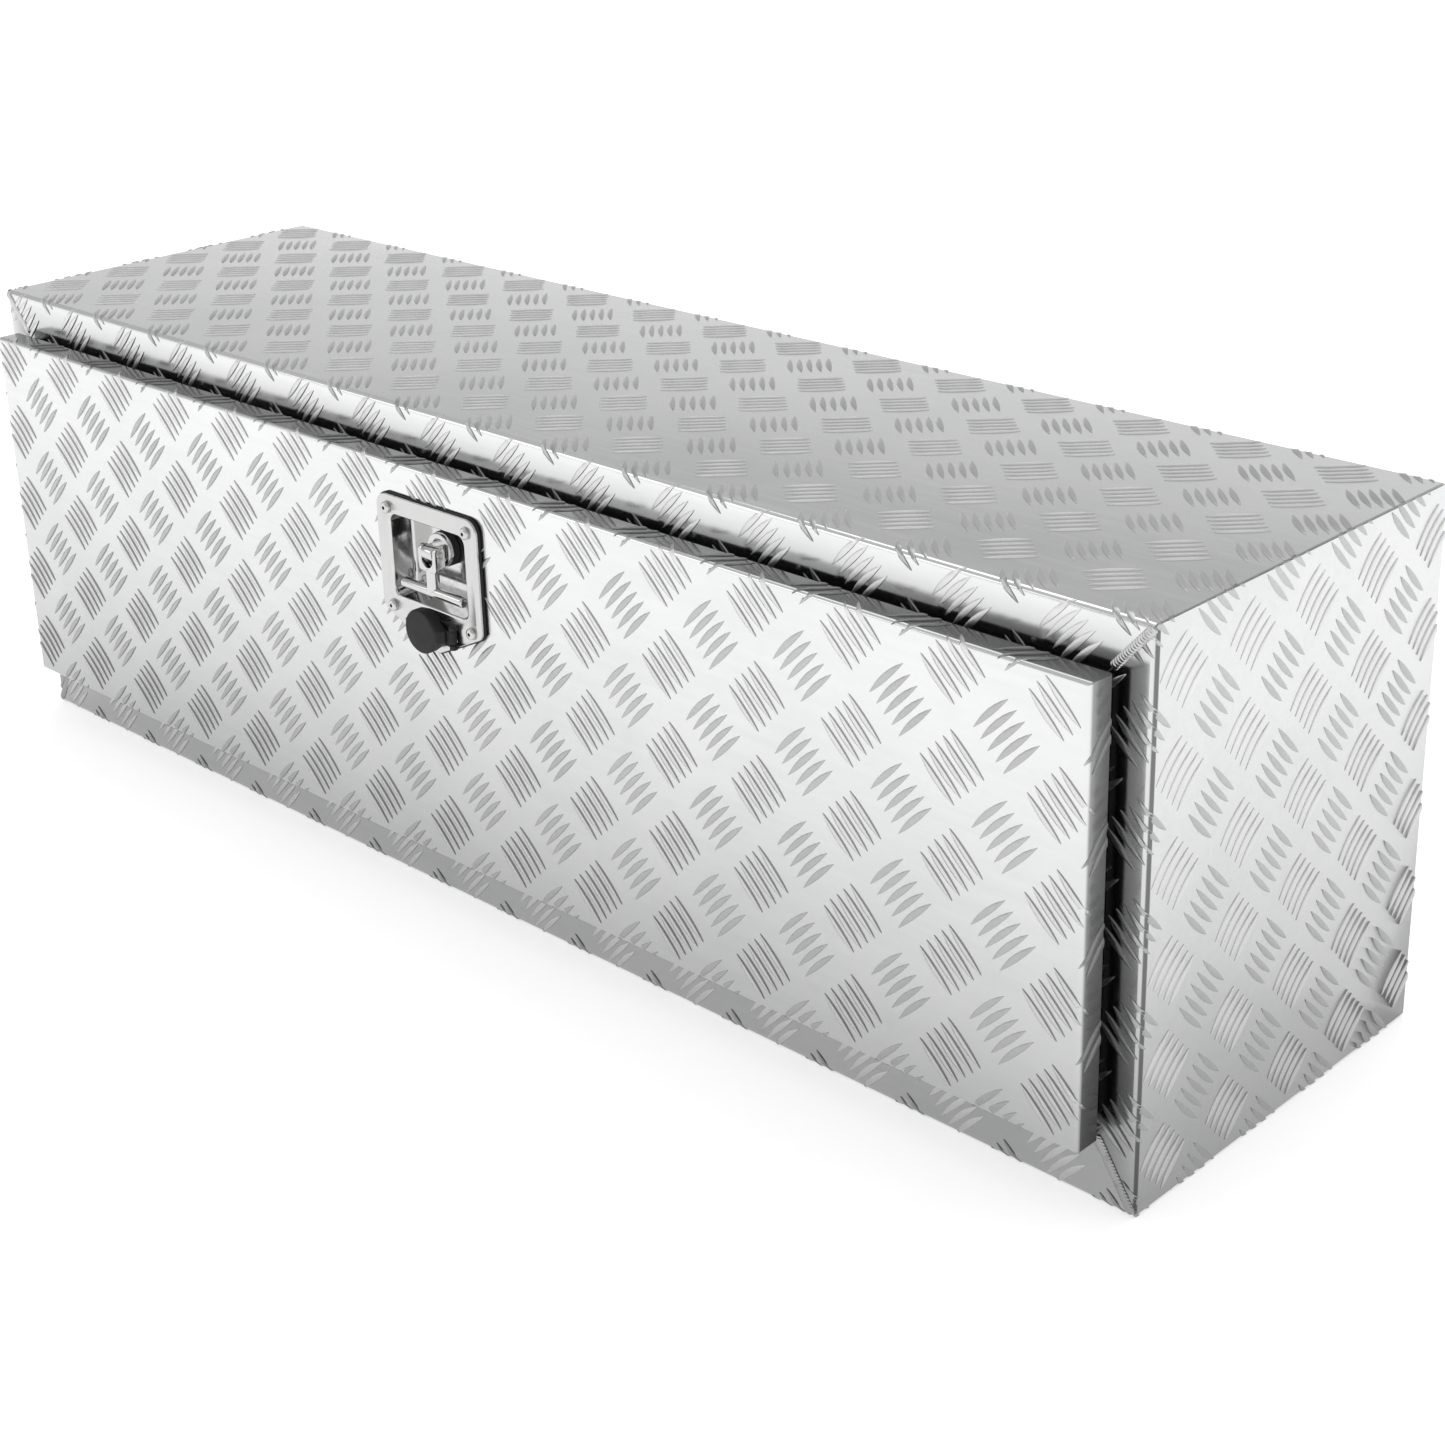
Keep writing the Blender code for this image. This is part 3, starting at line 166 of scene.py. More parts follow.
class Graph:
    """Builds a shader or geometry node tree through one method for every node."""

    def __init__(self, tree: bpy.types.NodeTree) -> None:
        """Keeps the tree that the nodes go into."""
        self.tree = tree

    def feed(self, socket: bpy.types.NodeSocket, value: Any) -> None:
        """Links or sets one input.

        Args:
            socket: The input.
            value: A Value to link, or a number, colour, vector or datablock to set.
        """
        if isinstance(value, Value):
            self.tree.links.new(value.socket, socket)
        else:
            socket.default_value = value

    def node(self, kind: str, inputs: dict | None = None, **settings: Any) -> Value:
        """Adds a node.

        Args:
            kind: The node's type.
            inputs: Values or links by socket name or number.
            settings: The node's own settings, which are set first.

        Returns:
            The node's first visible output.
        """
        made = self.tree.nodes.new(kind)
        stops = settings.pop("stops", None)
        for name, setting in settings.items():
            setattr(made, name, setting)
        if stops:
            ramp = made.color_ramp
            while len(ramp.elements) < len(stops):
                ramp.elements.new(1.0)
            for element, (position, shade) in zip(ramp.elements, stops):
                element.position = position
                element.color = (shade, shade, shade, 1)
        for key, value in (inputs or {}).items():
            if isinstance(key, int):
                socket = made.inputs[key]
            else:
                socket = next(s for s in made.inputs if s.name == key and s.enabled)
            self.feed(socket, value)
        return Value(self, next((s for s in made.outputs if s.enabled), None))

    def math(self, operation: str, *values: Any) -> Value:
        """A Math node on one, two or three numbers."""
        return self.node("ShaderNodeMath", dict(enumerate(values)), operation=operation)

    def vector(self, operation: str, *values: Any) -> Value:
        """A Vector Math node."""
        return self.node("ShaderNodeVectorMath", dict(enumerate(values)), operation=operation)

    def xyz(self, x: Any, y: Any, z: Any) -> Value:
        """A vector from three numbers."""
        return self.node("ShaderNodeCombineXYZ", {0: x, 1: y, 2: z})

    def split(self, vector: Value) -> tuple[Value, Value, Value]:
        """The three numbers of a vector."""
        first = self.node("ShaderNodeSeparateXYZ", {0: vector})
        return first, first.out("Y"), first.out("Z")

    def mix(self, share: Any, low: Any, high: Any) -> Value:
        """A blend of two colours."""
        inputs = {"Factor": share, "A": low, "B": high}
        return self.node("ShaderNodeMix", inputs, data_type="RGBA")


class Shader(Graph):
    """A material's graph, which reads places on the piece itself."""

    def __init__(self, name: str) -> None:
        """Makes an empty material with its output node."""
        self.material = bpy.data.materials.new(name)
        self.material.use_nodes = True
        super().__init__(self.material.node_tree)
        self.tree.nodes.clear()
        self.place = self.node("ShaderNodeTexCoord").out("Object")

    def stretched(self, x: float, y: float, z: float) -> Value:
        """The place on the piece, scaled along each axis."""
        return self.node("ShaderNodeMapping", {"Vector": self.place, "Scale": (x, y, z)})

    def noise(self, where: Value, scale: float, detail: float = 3.0, rough: float = 0.5) -> Value:
        """Soft random values round 0.5.

        Args:
            where: The place to read.
            scale: How many features there are in a metre.
            detail: The number of finer layers.
            rough: The strength of the finer layers.

        Returns:
            The noise's value.
        """
        inputs = {"Vector": where, "Scale": scale, "Detail": detail, "Roughness": rough}
        return self.node("ShaderNodeTexNoise", inputs)

    def band(self, value: Value, low: float, high: float) -> Value:
        """0 below low, 1 above high, smooth between."""
        inputs = {"Value": value, "From Min": low, "From Max": high}
        return self.node("ShaderNodeMapRange", inputs, interpolation_type="SMOOTHSTEP")

    def bump(self, height: Value, depth: float, under: Value | None = None) -> Value:
        """A normal bent by a height.

        Args:
            height: The height, in units of depth.
            depth: The depth of the relief in metres.
            under: A normal to bend further.

        Returns:
            The bent normal.
        """
        inputs = {"Strength": 1.0, "Distance": depth, "Height": height}
        if under:
            inputs["Normal"] = under
        return self.node("ShaderNodeBump", inputs)

    def shaded(self, colour: Value, dark: float = 0.06) -> Value:
        """A colour darkened in sockets and folds, where the mesh's shade attribute says so."""
        share = self.node("ShaderNodeAttribute", attribute_name="shade").out("Fac")
        return self.mix(share, colour, grey(dark))

    def painted_foot_shade(self, colour: Value, depth: float, top: float = 0.395) -> Value:
        """A colour with painted shade that darkens it towards the foot of the box, standing in for the darker
        reflections low down.

        Args:
            colour: The colour without the painted shade.
            depth: How much of it the painted shade takes away at the foot.
            top: The height above which no shade is painted.

        Returns:
            The colour with its painted shade.
        """
        _, _, height = self.split(self.place)
        foot_shade = self.math("MAXIMUM", 1 - height / top, 0.0) ** 1.6
        return self.mix(foot_shade * depth, colour, grey(0.02))

    def finish(self, colour: Any, roughness: Any, normal: Value | None, **fixed: float) -> Any:
        """Ends the material in a Principled surface.

        Args:
            colour: The base colour.
            roughness: The roughness.
            normal: The bent normal, if there is one.
            fixed: Plain numbers for the shader's other sockets, with spaces as underscores.

        Returns:
            The material.
        """
        inputs = {"Base Color": colour, "Roughness": roughness}
        if normal:
            inputs["Normal"] = normal
        inputs.update({name.replace("_", " "): value for name, value in fixed.items()})
        surface = self.node("ShaderNodeBsdfPrincipled", inputs)
        self.node("ShaderNodeOutputMaterial", {"Surface": surface})
        return self.material


# ------------------------------------------------------------------ finishes


def grey(shade: float, warmth: float = 0.0) -> tuple[float, float, float, float]:
    """A near-neutral colour, warmer above 0 and cooler below."""
    return (shade + warmth, shade, shade - warmth, 1.0)


@dataclass(frozen=True)
class SheetMetal:
    """Rolled aluminium: a soft mirror with rolling streaks, handling marks and slight waves."""

    name: str
    light: float
    dark: float
    roughness: float
    streaks: float
    waves: float
    foot_shade: float

    def build(self) -> bpy.types.Material:
        """Makes the material."""
        s = Shader(self.name)
        cloud = s.noise(s.place, 7.0, 4.0)
        rolled = s.noise(s.stretched(6.0, 160.0, 160.0), 1.0, 5.0, 0.6)
        grain = s.noise(s.place, 2600.0, 2.0)
        marks = s.band(s.noise(s.place, 38.0, 6.0, 0.62), 0.52, 0.75)
        shade = s.band(cloud * 0.6 + rolled * 0.4, 0.35, 0.65)
        colour = s.mix(shade, grey(self.dark, -0.004), grey(self.light, -0.002))
        colour = s.mix(marks * 0.10, colour, grey(self.dark * 0.86, 0.004))
        # Painted shade: from the mesh's shade attribute in folds and on returns, and towards the foot of the box.
        colour = s.painted_foot_shade(s.shaded(colour), self.foot_shade)
        varied = (rolled - 0.5) * self.streaks + (cloud - 0.5) * 0.08
        roughness = self.roughness + varied + marks * 0.05
        wave = s.bump(s.noise(s.place, 5.0, 1.0), self.waves)
        normal = s.bump(grain * 0.7 + rolled * 0.3, 0.000012, wave)
        return s.finish(colour, roughness, normal, Metallic=1.0)


@dataclass(frozen=True)
class BarMetal:
    """The tread's bars: duller than the sheet, with a painted dark line of shade where the sheer flank meets it.

    The groups that lie across the light are darker by painted shade; the groups that lie along the light get a painted
    lighter tone, nearly as bright as the sheet.
    """

    name: str
    light: float
    dark: float
    bright: float
    foot: float
    faint: float
    roughness: float
    foot_shade: float

    def build(self) -> bpy.types.Material:
        """Makes the material."""
        s = Shader(self.name)
        cloud = s.noise(s.place, 9.0, 4.0)
        rubbed = s.band(s.noise(s.place, 240.0, 5.0, 0.6), 0.5, 0.72)
        # Painted shade: the dark line at the foot of the sheer flank, from the bars' shade attribute.
        low = s.node("ShaderNodeAttribute", attribute_name="shade").out("Fac")
        shade = s.band(cloud, 0.35, 0.65)
        colour = s.mix(shade, grey(self.dark, -0.003), grey(self.light, -0.003))
        colour = s.mix(rubbed * 0.25, colour, grey(self.light * 1.12))
        # Painted light: the groups that lie along the light are painted nearly as bright as the sheet.
        pale = s.node("ShaderNodeAttribute", attribute_name="pale").out("Fac")
        colour = s.mix(pale, colour, s.mix(shade, grey(self.bright * 0.94), grey(self.bright)))
        line = s.mix(pale, grey(self.foot), grey(self.faint))
        colour = s.mix(s.band(low, 0.1, 0.8), colour, line)
        # Painted shade towards the foot of the box.
        colour = s.painted_foot_shade(colour, self.foot_shade)
        roughness = self.roughness - rubbed * 0.06 + (cloud - 0.5) * 0.1
        return s.finish(colour, roughness, s.bump(rubbed, 0.00002), Metallic=1.0)


@dataclass(frozen=True)
class BrushedSteel:
    """Stainless sheet with a fine straight brush and faint smudges."""

    name: str
    shade: float
    roughness: float
    brush: tuple[float, float, float]
    depth: float

    def build(self) -> bpy.types.Material:
        """Makes the material."""
        s = Shader(self.name)
        lines = s.noise(s.stretched(*self.brush), 1.0, 6.0, 0.7)
        smudge = s.band(s.noise(s.place, 30.0, 3.0, 0.5), 0.42, 0.7)
        colour = s.mix(s.band(lines, 0.3, 0.7), grey(self.shade * 0.92, 0.002), grey(self.shade, 0.002))
        colour = s.shaded(colour, 0.01)
        roughness = self.roughness + (lines - 0.5) * 0.12 + smudge * 0.03
        return s.finish(colour, roughness, s.bump(lines, self.depth), Metallic=1.0)


@dataclass(frozen=True)
class PolishedSteel:
    """Buffed steel with light fingerprints and hairline scratches."""

    name: str
    shade: float
    roughness: float

    def build(self) -> bpy.types.Material:
        """Makes the material."""
        s = Shader(self.name)
        smudge = s.band(s.noise(s.place, 120.0, 6.0, 0.6), 0.45, 0.7)
        hair = s.band(s.noise(s.stretched(900.0, 900.0, 70.0), 1.0, 3.0, 0.7), 0.6, 0.72)
        colour = s.mix(smudge * 0.4, grey(self.shade, 0.001), grey(self.shade * 0.88, 0.004))
        roughness = self.roughness + smudge * 0.10 + hair * 0.06
        return s.finish(colour, roughness, s.bump(hair, 0.000004), Metallic=1.0)


@dataclass(frozen=True)
class ZincPlate:
    """Bright zinc on steel, with a faint spangle and dull patches."""

    name: str
    shade: float
    roughness: float

    def build(self) -> bpy.types.Material:
        """Makes the material."""
        s = Shader(self.name)
        spangle = s.node("ShaderNodeTexVoronoi", {"Vector": s.place, "Scale": 420.0})
        cells = s.node("ShaderNodeSeparateColor", {"Color": spangle.out("Color")})
        dull = s.band(s.noise(s.place, 90.0, 5.0), 0.4, 0.68)
        colour = s.mix(dull, grey(self.shade, -0.008), grey(self.shade * 0.8, 0.006))
        roughness = self.roughness + (cells - 0.5) * 0.10 + dull * 0.12
        normal = s.bump(s.noise(s.place, 1500.0, 3.0), 0.00001)
        return s.finish(colour, roughness, normal, Metallic=1.0)


@dataclass(frozen=True)
class WeldMetal:
    """Fresh weld: bright crests, greyer patches and fine pits."""

    name: str
    shade: float
    roughness: float

    def build(self) -> bpy.types.Material:
        """Makes the material."""
        s = Shader(self.name)
        soot = s.band(s.noise(s.place, 160.0, 4.0, 0.5), 0.5, 0.75)
        colour = s.mix(soot, grey(self.shade, -0.002), grey(self.shade * 0.78, 0.006))
        # Painted shade towards the foot of the box.
        colour = s.painted_foot_shade(colour, 0.5)
        roughness = self.roughness + soot * 0.12
        normal = s.bump(s.noise(s.place, 900.0, 3.0, 0.5), 0.00001)
        return s.finish(colour, roughness, normal, Metallic=1.0)


@dataclass(frozen=True)
class Rubber:
    """Moulded black rubber with a fine grain, paler where it has been rubbed."""

    name: str
    shade: float
    roughness: float
    grain: float
    relief: float

    def build(self) -> bpy.types.Material:
        """Makes the material."""
        s = Shader(self.name)
        pebble = s.node("ShaderNodeTexVoronoi", {"Vector": s.place, "Scale": self.grain})
        cloud = s.noise(s.place, 60.0, 5.0)
        rubbed = s.band(cloud, 0.5, 0.75)
        colour = s.mix(rubbed, grey(self.shade), grey(self.shade * 1.9))
        roughness = self.roughness + (cloud - 0.5) * 0.2 - rubbed * 0.05
        height = pebble * 0.8 + s.noise(s.place, self.grain * 2.2, 3.0) * 0.2
        return s.finish(colour, roughness, s.bump(height, self.relief), Specular_IOR_Level=0.35)


@dataclass(frozen=True)
class Plain:
    """The studio's matt floor, which glows a little so that it stays pale in shadow."""

    name: str
    shade: float
    glow: float

    def build(self) -> bpy.types.Material:
        """Makes the material."""
        s = Shader(self.name)
        cloud = s.noise(s.place, 0.8, 2.0)
        colour = s.mix(cloud, grey(self.shade), grey(self.shade * 0.995))
        return s.finish(
            colour, 0.9, None, Emission_Color=(1, 1, 1, 1), Emission_Strength=self.glow
        )


TREAD = SheetMetal("tread_aluminium", 0.80, 0.75, 0.17, 0.10, 0.00035, 0.53)
BARS = BarMetal("tread_bar_crowns", 0.52, 0.47, 0.75, 0.12, 0.40, 0.34, 0.40)
# The same aluminium as TREAD with painted shade: darker, and with more painted shade towards the foot, since the end
# faces take less light.
SHADED_END_TREAD = SheetMetal("end_tread_aluminium_shaded", 0.73, 0.68, 0.17, 0.10, 0.00035, 0.60)
MILL = SheetMetal("mill_aluminium", 0.78, 0.70, 0.34, 0.22, 0.0004, 0.0)
SATIN = BrushedSteel("satin_stainless", 0.62, 0.24, (2600.0, 60.0, 60.0), 0.000004)
BOWL = PolishedSteel("bright_stainless", 0.62, 0.09)
POLISHED = PolishedSteel("polished_steel", 0.62, 0.09)
ZINC = ZincPlate("zinc_plate", 0.66, 0.30)
WELD = WeldMetal("weld_metal", 0.58, 0.24)
SEAL = Rubber("seal_rubber", 0.012, 0.62, 1600.0, 0.00004)
MOULDED = Rubber("cap_rubber", 0.008, 0.58, 2400.0, 0.00004)
BRASS = BrushedSteel("nickelled_brass", 0.68, 0.24, (1800.0, 200.0, 1800.0), 0.000004)
FLOOR = Plain("studio_floor", 0.90, 0.52)


class Dresser:
    """Makes each finish once."""

    made: dict[str, bpy.types.Material] = {}

    @classmethod
    def material(cls, finish: Any) -> bpy.types.Material:
        """The material of a finish."""
        if finish.name not in cls.made:
            cls.made[finish.name] = finish.build()
        return cls.made[finish.name]


# ------------------------------------------------------------------ outlines and meshes


def arc(centre: Point2, radius: float, start: float, end: float, steps: int) -> Outline:
    """Points on an arc, both ends included, with its angles in degrees."""
    angles = np.radians(np.linspace(start, end, steps + 1))
    return [(centre[0] + radius * math.cos(a), centre[1] + radius * math.sin(a)) for a in angles]


def circle(centre: Point2, radius: float, sides: int = 48) -> Outline:
    """A closed outline of a circle."""
    return arc(centre, radius, 0, 360 * (sides - 1) / sides, sides - 1)


def rounded_rectangle(a0: float, a1: float, b0: float, b1: float, radius: float, steps: int) -> Outline:
    """A closed outline of a rectangle with round corners."""
    corners = (
        ((a1 - radius, b0 + radius), 270),
        ((a1 - radius, b1 - radius), 0),
        ((a0 + radius, b1 - radius), 90),
        ((a0 + radius, b0 + radius), 180),
    )
    return [p for centre, start in corners for p in arc(centre, radius, start, start + 90, steps)]


def stadium(length: float, radius: float, start: float, steps: int) -> Outline:
    """A slot's outline along the first axis, from start for the given length."""
    left = arc((start, 0), radius, 90, 270, steps)
    return left + arc((start + length, 0), radius, -90, 90, steps)


def point(along: str, a: float, b: float, c: float) -> tuple[float, float, float]:
    """A point with a and b across the named axis and c along it."""
    return {"X": (c, a, b), "Y": (a, c, b), "Z": (a, b, c)}[along]


def loft(loops: Sequence[Loop], ring: bool = False) -> bmesh.types.BMesh:
    """A skin through loops of equal length.

    Args:
        loops: The loops, in order.
        ring: Whether the last loop joins the first. The end loops are filled otherwise.

    Returns:
        The skin, with its faces pointing out.
    """
    bm = bmesh.new()
    rows = [[bm.verts.new(p) for p in loop] for loop in loops]
    pairs = list(zip(rows, rows[1:]))
    if ring:
        pairs.append((rows[-1], rows[0]))
    else:
        bm.faces.new(rows[0])
        bm.faces.new(rows[-1])
    for row, following in pairs:
        for i, vert in enumerate(row):
            j = (i + 1) % len(row)
            bm.faces.new((vert, row[j], following[j], following[i]))
    bmesh.ops.recalc_face_normals(bm, faces=bm.faces)
    return bm


def prism(along: str, outline: Outline, low: float, high: float) -> bmesh.types.BMesh:
    """An outline carried along an axis."""
    return loft([[point(along, a, b, c) for a, b in outline] for c in (low, high)])


def block(low: Sequence[float], high: Sequence[float]) -> bmesh.types.BMesh:
    """A rectangular block between two corners."""
    outline = [(low[0], low[1]), (high[0], low[1]), (high[0], high[1]), (low[0], high[1])]
    return prism("Z", outline, low[2], high[2])


def turned(along: str, centre: Point2, profile: Outline, sides: int = 48) -> bmesh.types.BMesh:
    """A solid of revolution from (distance along the axis, radius) pairs."""
    loops = [[point(along, a, b, c) for a, b in circle(centre, r, sides)] for c, r in profile]
    return loft(loops)


def pin_profile(low: float, high: float, radius: float, ease: float, steps: int = 4) -> Outline:
    """A round bar's profile with rounded ends."""
    first = [(low + ease - ease * math.cos(a), radius - ease + ease * math.sin(a))
             for a in np.linspace(0, math.pi / 2, steps + 1)]
    last = [(low + high - c, r) for c, r in reversed(first)]
    return first + last


def merged(*parts: bmesh.types.BMesh) -> bmesh.types.BMesh:
    """Several solids in one mesh."""
    whole = bmesh.new()
    for part in parts:
        scratch = bpy.data.meshes.new("scratch")
        part.to_mesh(scratch)
        part.free()
        whole.from_mesh(scratch)
        bpy.data.meshes.remove(scratch)
    return whole


class Piece:
    """A mesh on its way to being a finished piece of the object."""

    def __init__(self, name: str, shape: Any, finish: Any) -> None:
        """Makes the object.

        Args:
            name: The piece's name.
            shape: A bmesh, which is freed, or a mesh.
            finish: The finish, or None where the mesh already has its materials.
        """
        if isinstance(shape, bmesh.types.BMesh):
            mesh = bpy.data.meshes.new(name)
            shape.to_mesh(mesh)
            shape.free()
        else:
            mesh = shape
            mesh.name = name
        self.item = bpy.data.objects.new(name, mesh)
        bpy.context.scene.collection.objects.link(self.item)
        if finish:
            mesh.materials.clear()
            mesh.materials.append(Dresser.material(finish))

    def settle(self) -> "Piece":
        """Applies the modifiers, so that the evaluated mesh is the piece's own."""
        graph = bpy.context.evaluated_depsgraph_get()
        graph.update()
        mesh = bpy.data.meshes.new_from_object(self.item.evaluated_get(graph))
        self.item.modifiers.clear()
        self.item.data = mesh
        return self

    def bevel(self, width: float, segments: int = 2, angle: float = 32.0) -> "Piece":
        """Rounds the edges that are sharper than an angle in degrees."""
        modifier = self.item.modifiers.new("edges", "BEVEL")
        modifier.width = width
        modifier.segments = segments
        modifier.limit_method = "ANGLE"
        modifier.angle_limit = math.radians(angle)
        modifier.use_clamp_overlap = True
        return self.settle()

    def combine(self, operation: str, *tools: bmesh.types.BMesh) -> "Piece":
        """Joins or cuts with solids through exact Booleans."""
        for tool in tools:
            other = Piece("tool", tool, None).item
            modifier = self.item.modifiers.new("boolean", "BOOLEAN")
            modifier.operation = operation
            modifier.solver = "EXACT"
            modifier.object = other
            self.settle()
            bpy.data.objects.remove(other)
        return self

    def smooth(self, angle: float = 32.0) -> "Piece":
        """Shades the piece smooth, with edges above an angle in degrees kept sharp."""
        self.item.data.shade_smooth()
        self.item.data.set_sharp_from_angle(angle=math.radians(angle))
        return self

    def shade(self, chosen: Callable[[Vector], bool], share: float = 1.0) -> "Piece":
        """Marks the vertices that a test chooses as dark, for the finish to read."""
        mesh = self.item.data
        layer = mesh.attributes.new("shade", "FLOAT", "POINT")
        for vert, entry in zip(mesh.vertices, layer.data):
            entry.value = share if chosen(vert.co) else 0.0
        return self

    def ride(self, body: Body, slot: str, *nodes: str) -> "Piece":
        """Hands the piece to the frame.

        Args:
            body: The body it moves with.
            slot: The record's material slot; not used.
            nodes: The frame's nodes that it stands for.

        Returns:
            The piece.
        """
        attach(self.item, body.value)
        if nodes:
            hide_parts(*nodes)
        count = sum(len(p.vertices) - 2 for p in self.item.data.polygons)
        LOG.info("%s: %d triangles on %s", self.item.name, count, body.value)
        return self


# ------------------------------------------------------------------ geometry node trees


class Recipe(Graph):
    """A Geometry Nodes tree with named inputs, run once to give a plain mesh."""

    KINDS = {float: "NodeSocketFloat", int: "NodeSocketInt", str: "NodeSocketString"}

    def __init__(self, name: str, **inputs: Any) -> None:
        """Makes the tree and its inputs.

        Args:
            name: The tree's name.
            inputs: Each input's value, with underscores for spaces in its name.
        """
        super().__init__(bpy.data.node_groups.new(name, "GeometryNodeTree"))
        interface = self.tree.interface
        interface.new_socket("Geometry", in_out="INPUT", socket_type="NodeSocketGeometry")
        interface.new_socket("Geometry", in_out="OUTPUT", socket_type="NodeSocketGeometry")
        self.settings: dict[str, Any] = {}
        self.entry = self.tree.nodes.new("NodeGroupInput")
        for key, value in inputs.items():
            if isinstance(value, np.floating):
                value = float(value)
            kind = self.KINDS.get(type(value))
            if kind is None:
                is_material = isinstance(value, bpy.types.Material)
                kind = "NodeSocketMaterial" if is_material else "NodeSocketObject"
            title = key.replace("_", " ")
            made = interface.new_socket(title, in_out="INPUT", socket_type=kind)
            self.settings[made.identifier] = value

    def given(self, name: str) -> Value:
        """A named input."""
        return Value(self, self.entry.outputs[name])

    def position(self) -> Value:
        """The position of each point."""
        return self.node("GeometryNodeInputPosition")

    def scatter(self, points: Value, shape: Value, turn: Any, size: Any = None) -> Value:
        """Copies of a shape on points, turned and sized."""
        inputs = {"Points": points, "Instance": shape, "Rotation": turn}
        if size is not None:
            inputs["Scale"] = size
        return self.node("GeometryNodeInstanceOnPoints", inputs)

    def run(self, geometry: Value, start: bpy.types.Mesh | None = None) -> bpy.types.Mesh:
        """Ends the tree and evaluates it.

        Args:
            geometry: What the tree gives, instances included.
            start: The mesh that the tree starts from, if it needs one.

        Returns:
            A plain mesh.
        """
        real = self.node("GeometryNodeRealizeInstances", {"Geometry": geometry})
        inputs = {"Geometry": real, "Material": self.given("Material")}
        dressed = self.node("GeometryNodeSetMaterial", inputs)
        self.node("NodeGroupOutput", {0: dressed})
        base = start or bpy.data.meshes.new("start")
        item = bpy.data.objects.new("recipe", base)
        bpy.context.scene.collection.objects.link(item)
        modifier = item.modifiers.new("recipe", "NODES")
        modifier.node_group = self.tree
        for identifier, value in self.settings.items():
            modifier[identifier] = value
        graph = bpy.context.evaluated_depsgraph_get()
        graph.update()
        made = bpy.data.meshes.new_from_object(item.evaluated_get(graph))
        bpy.data.objects.remove(item)
        return made


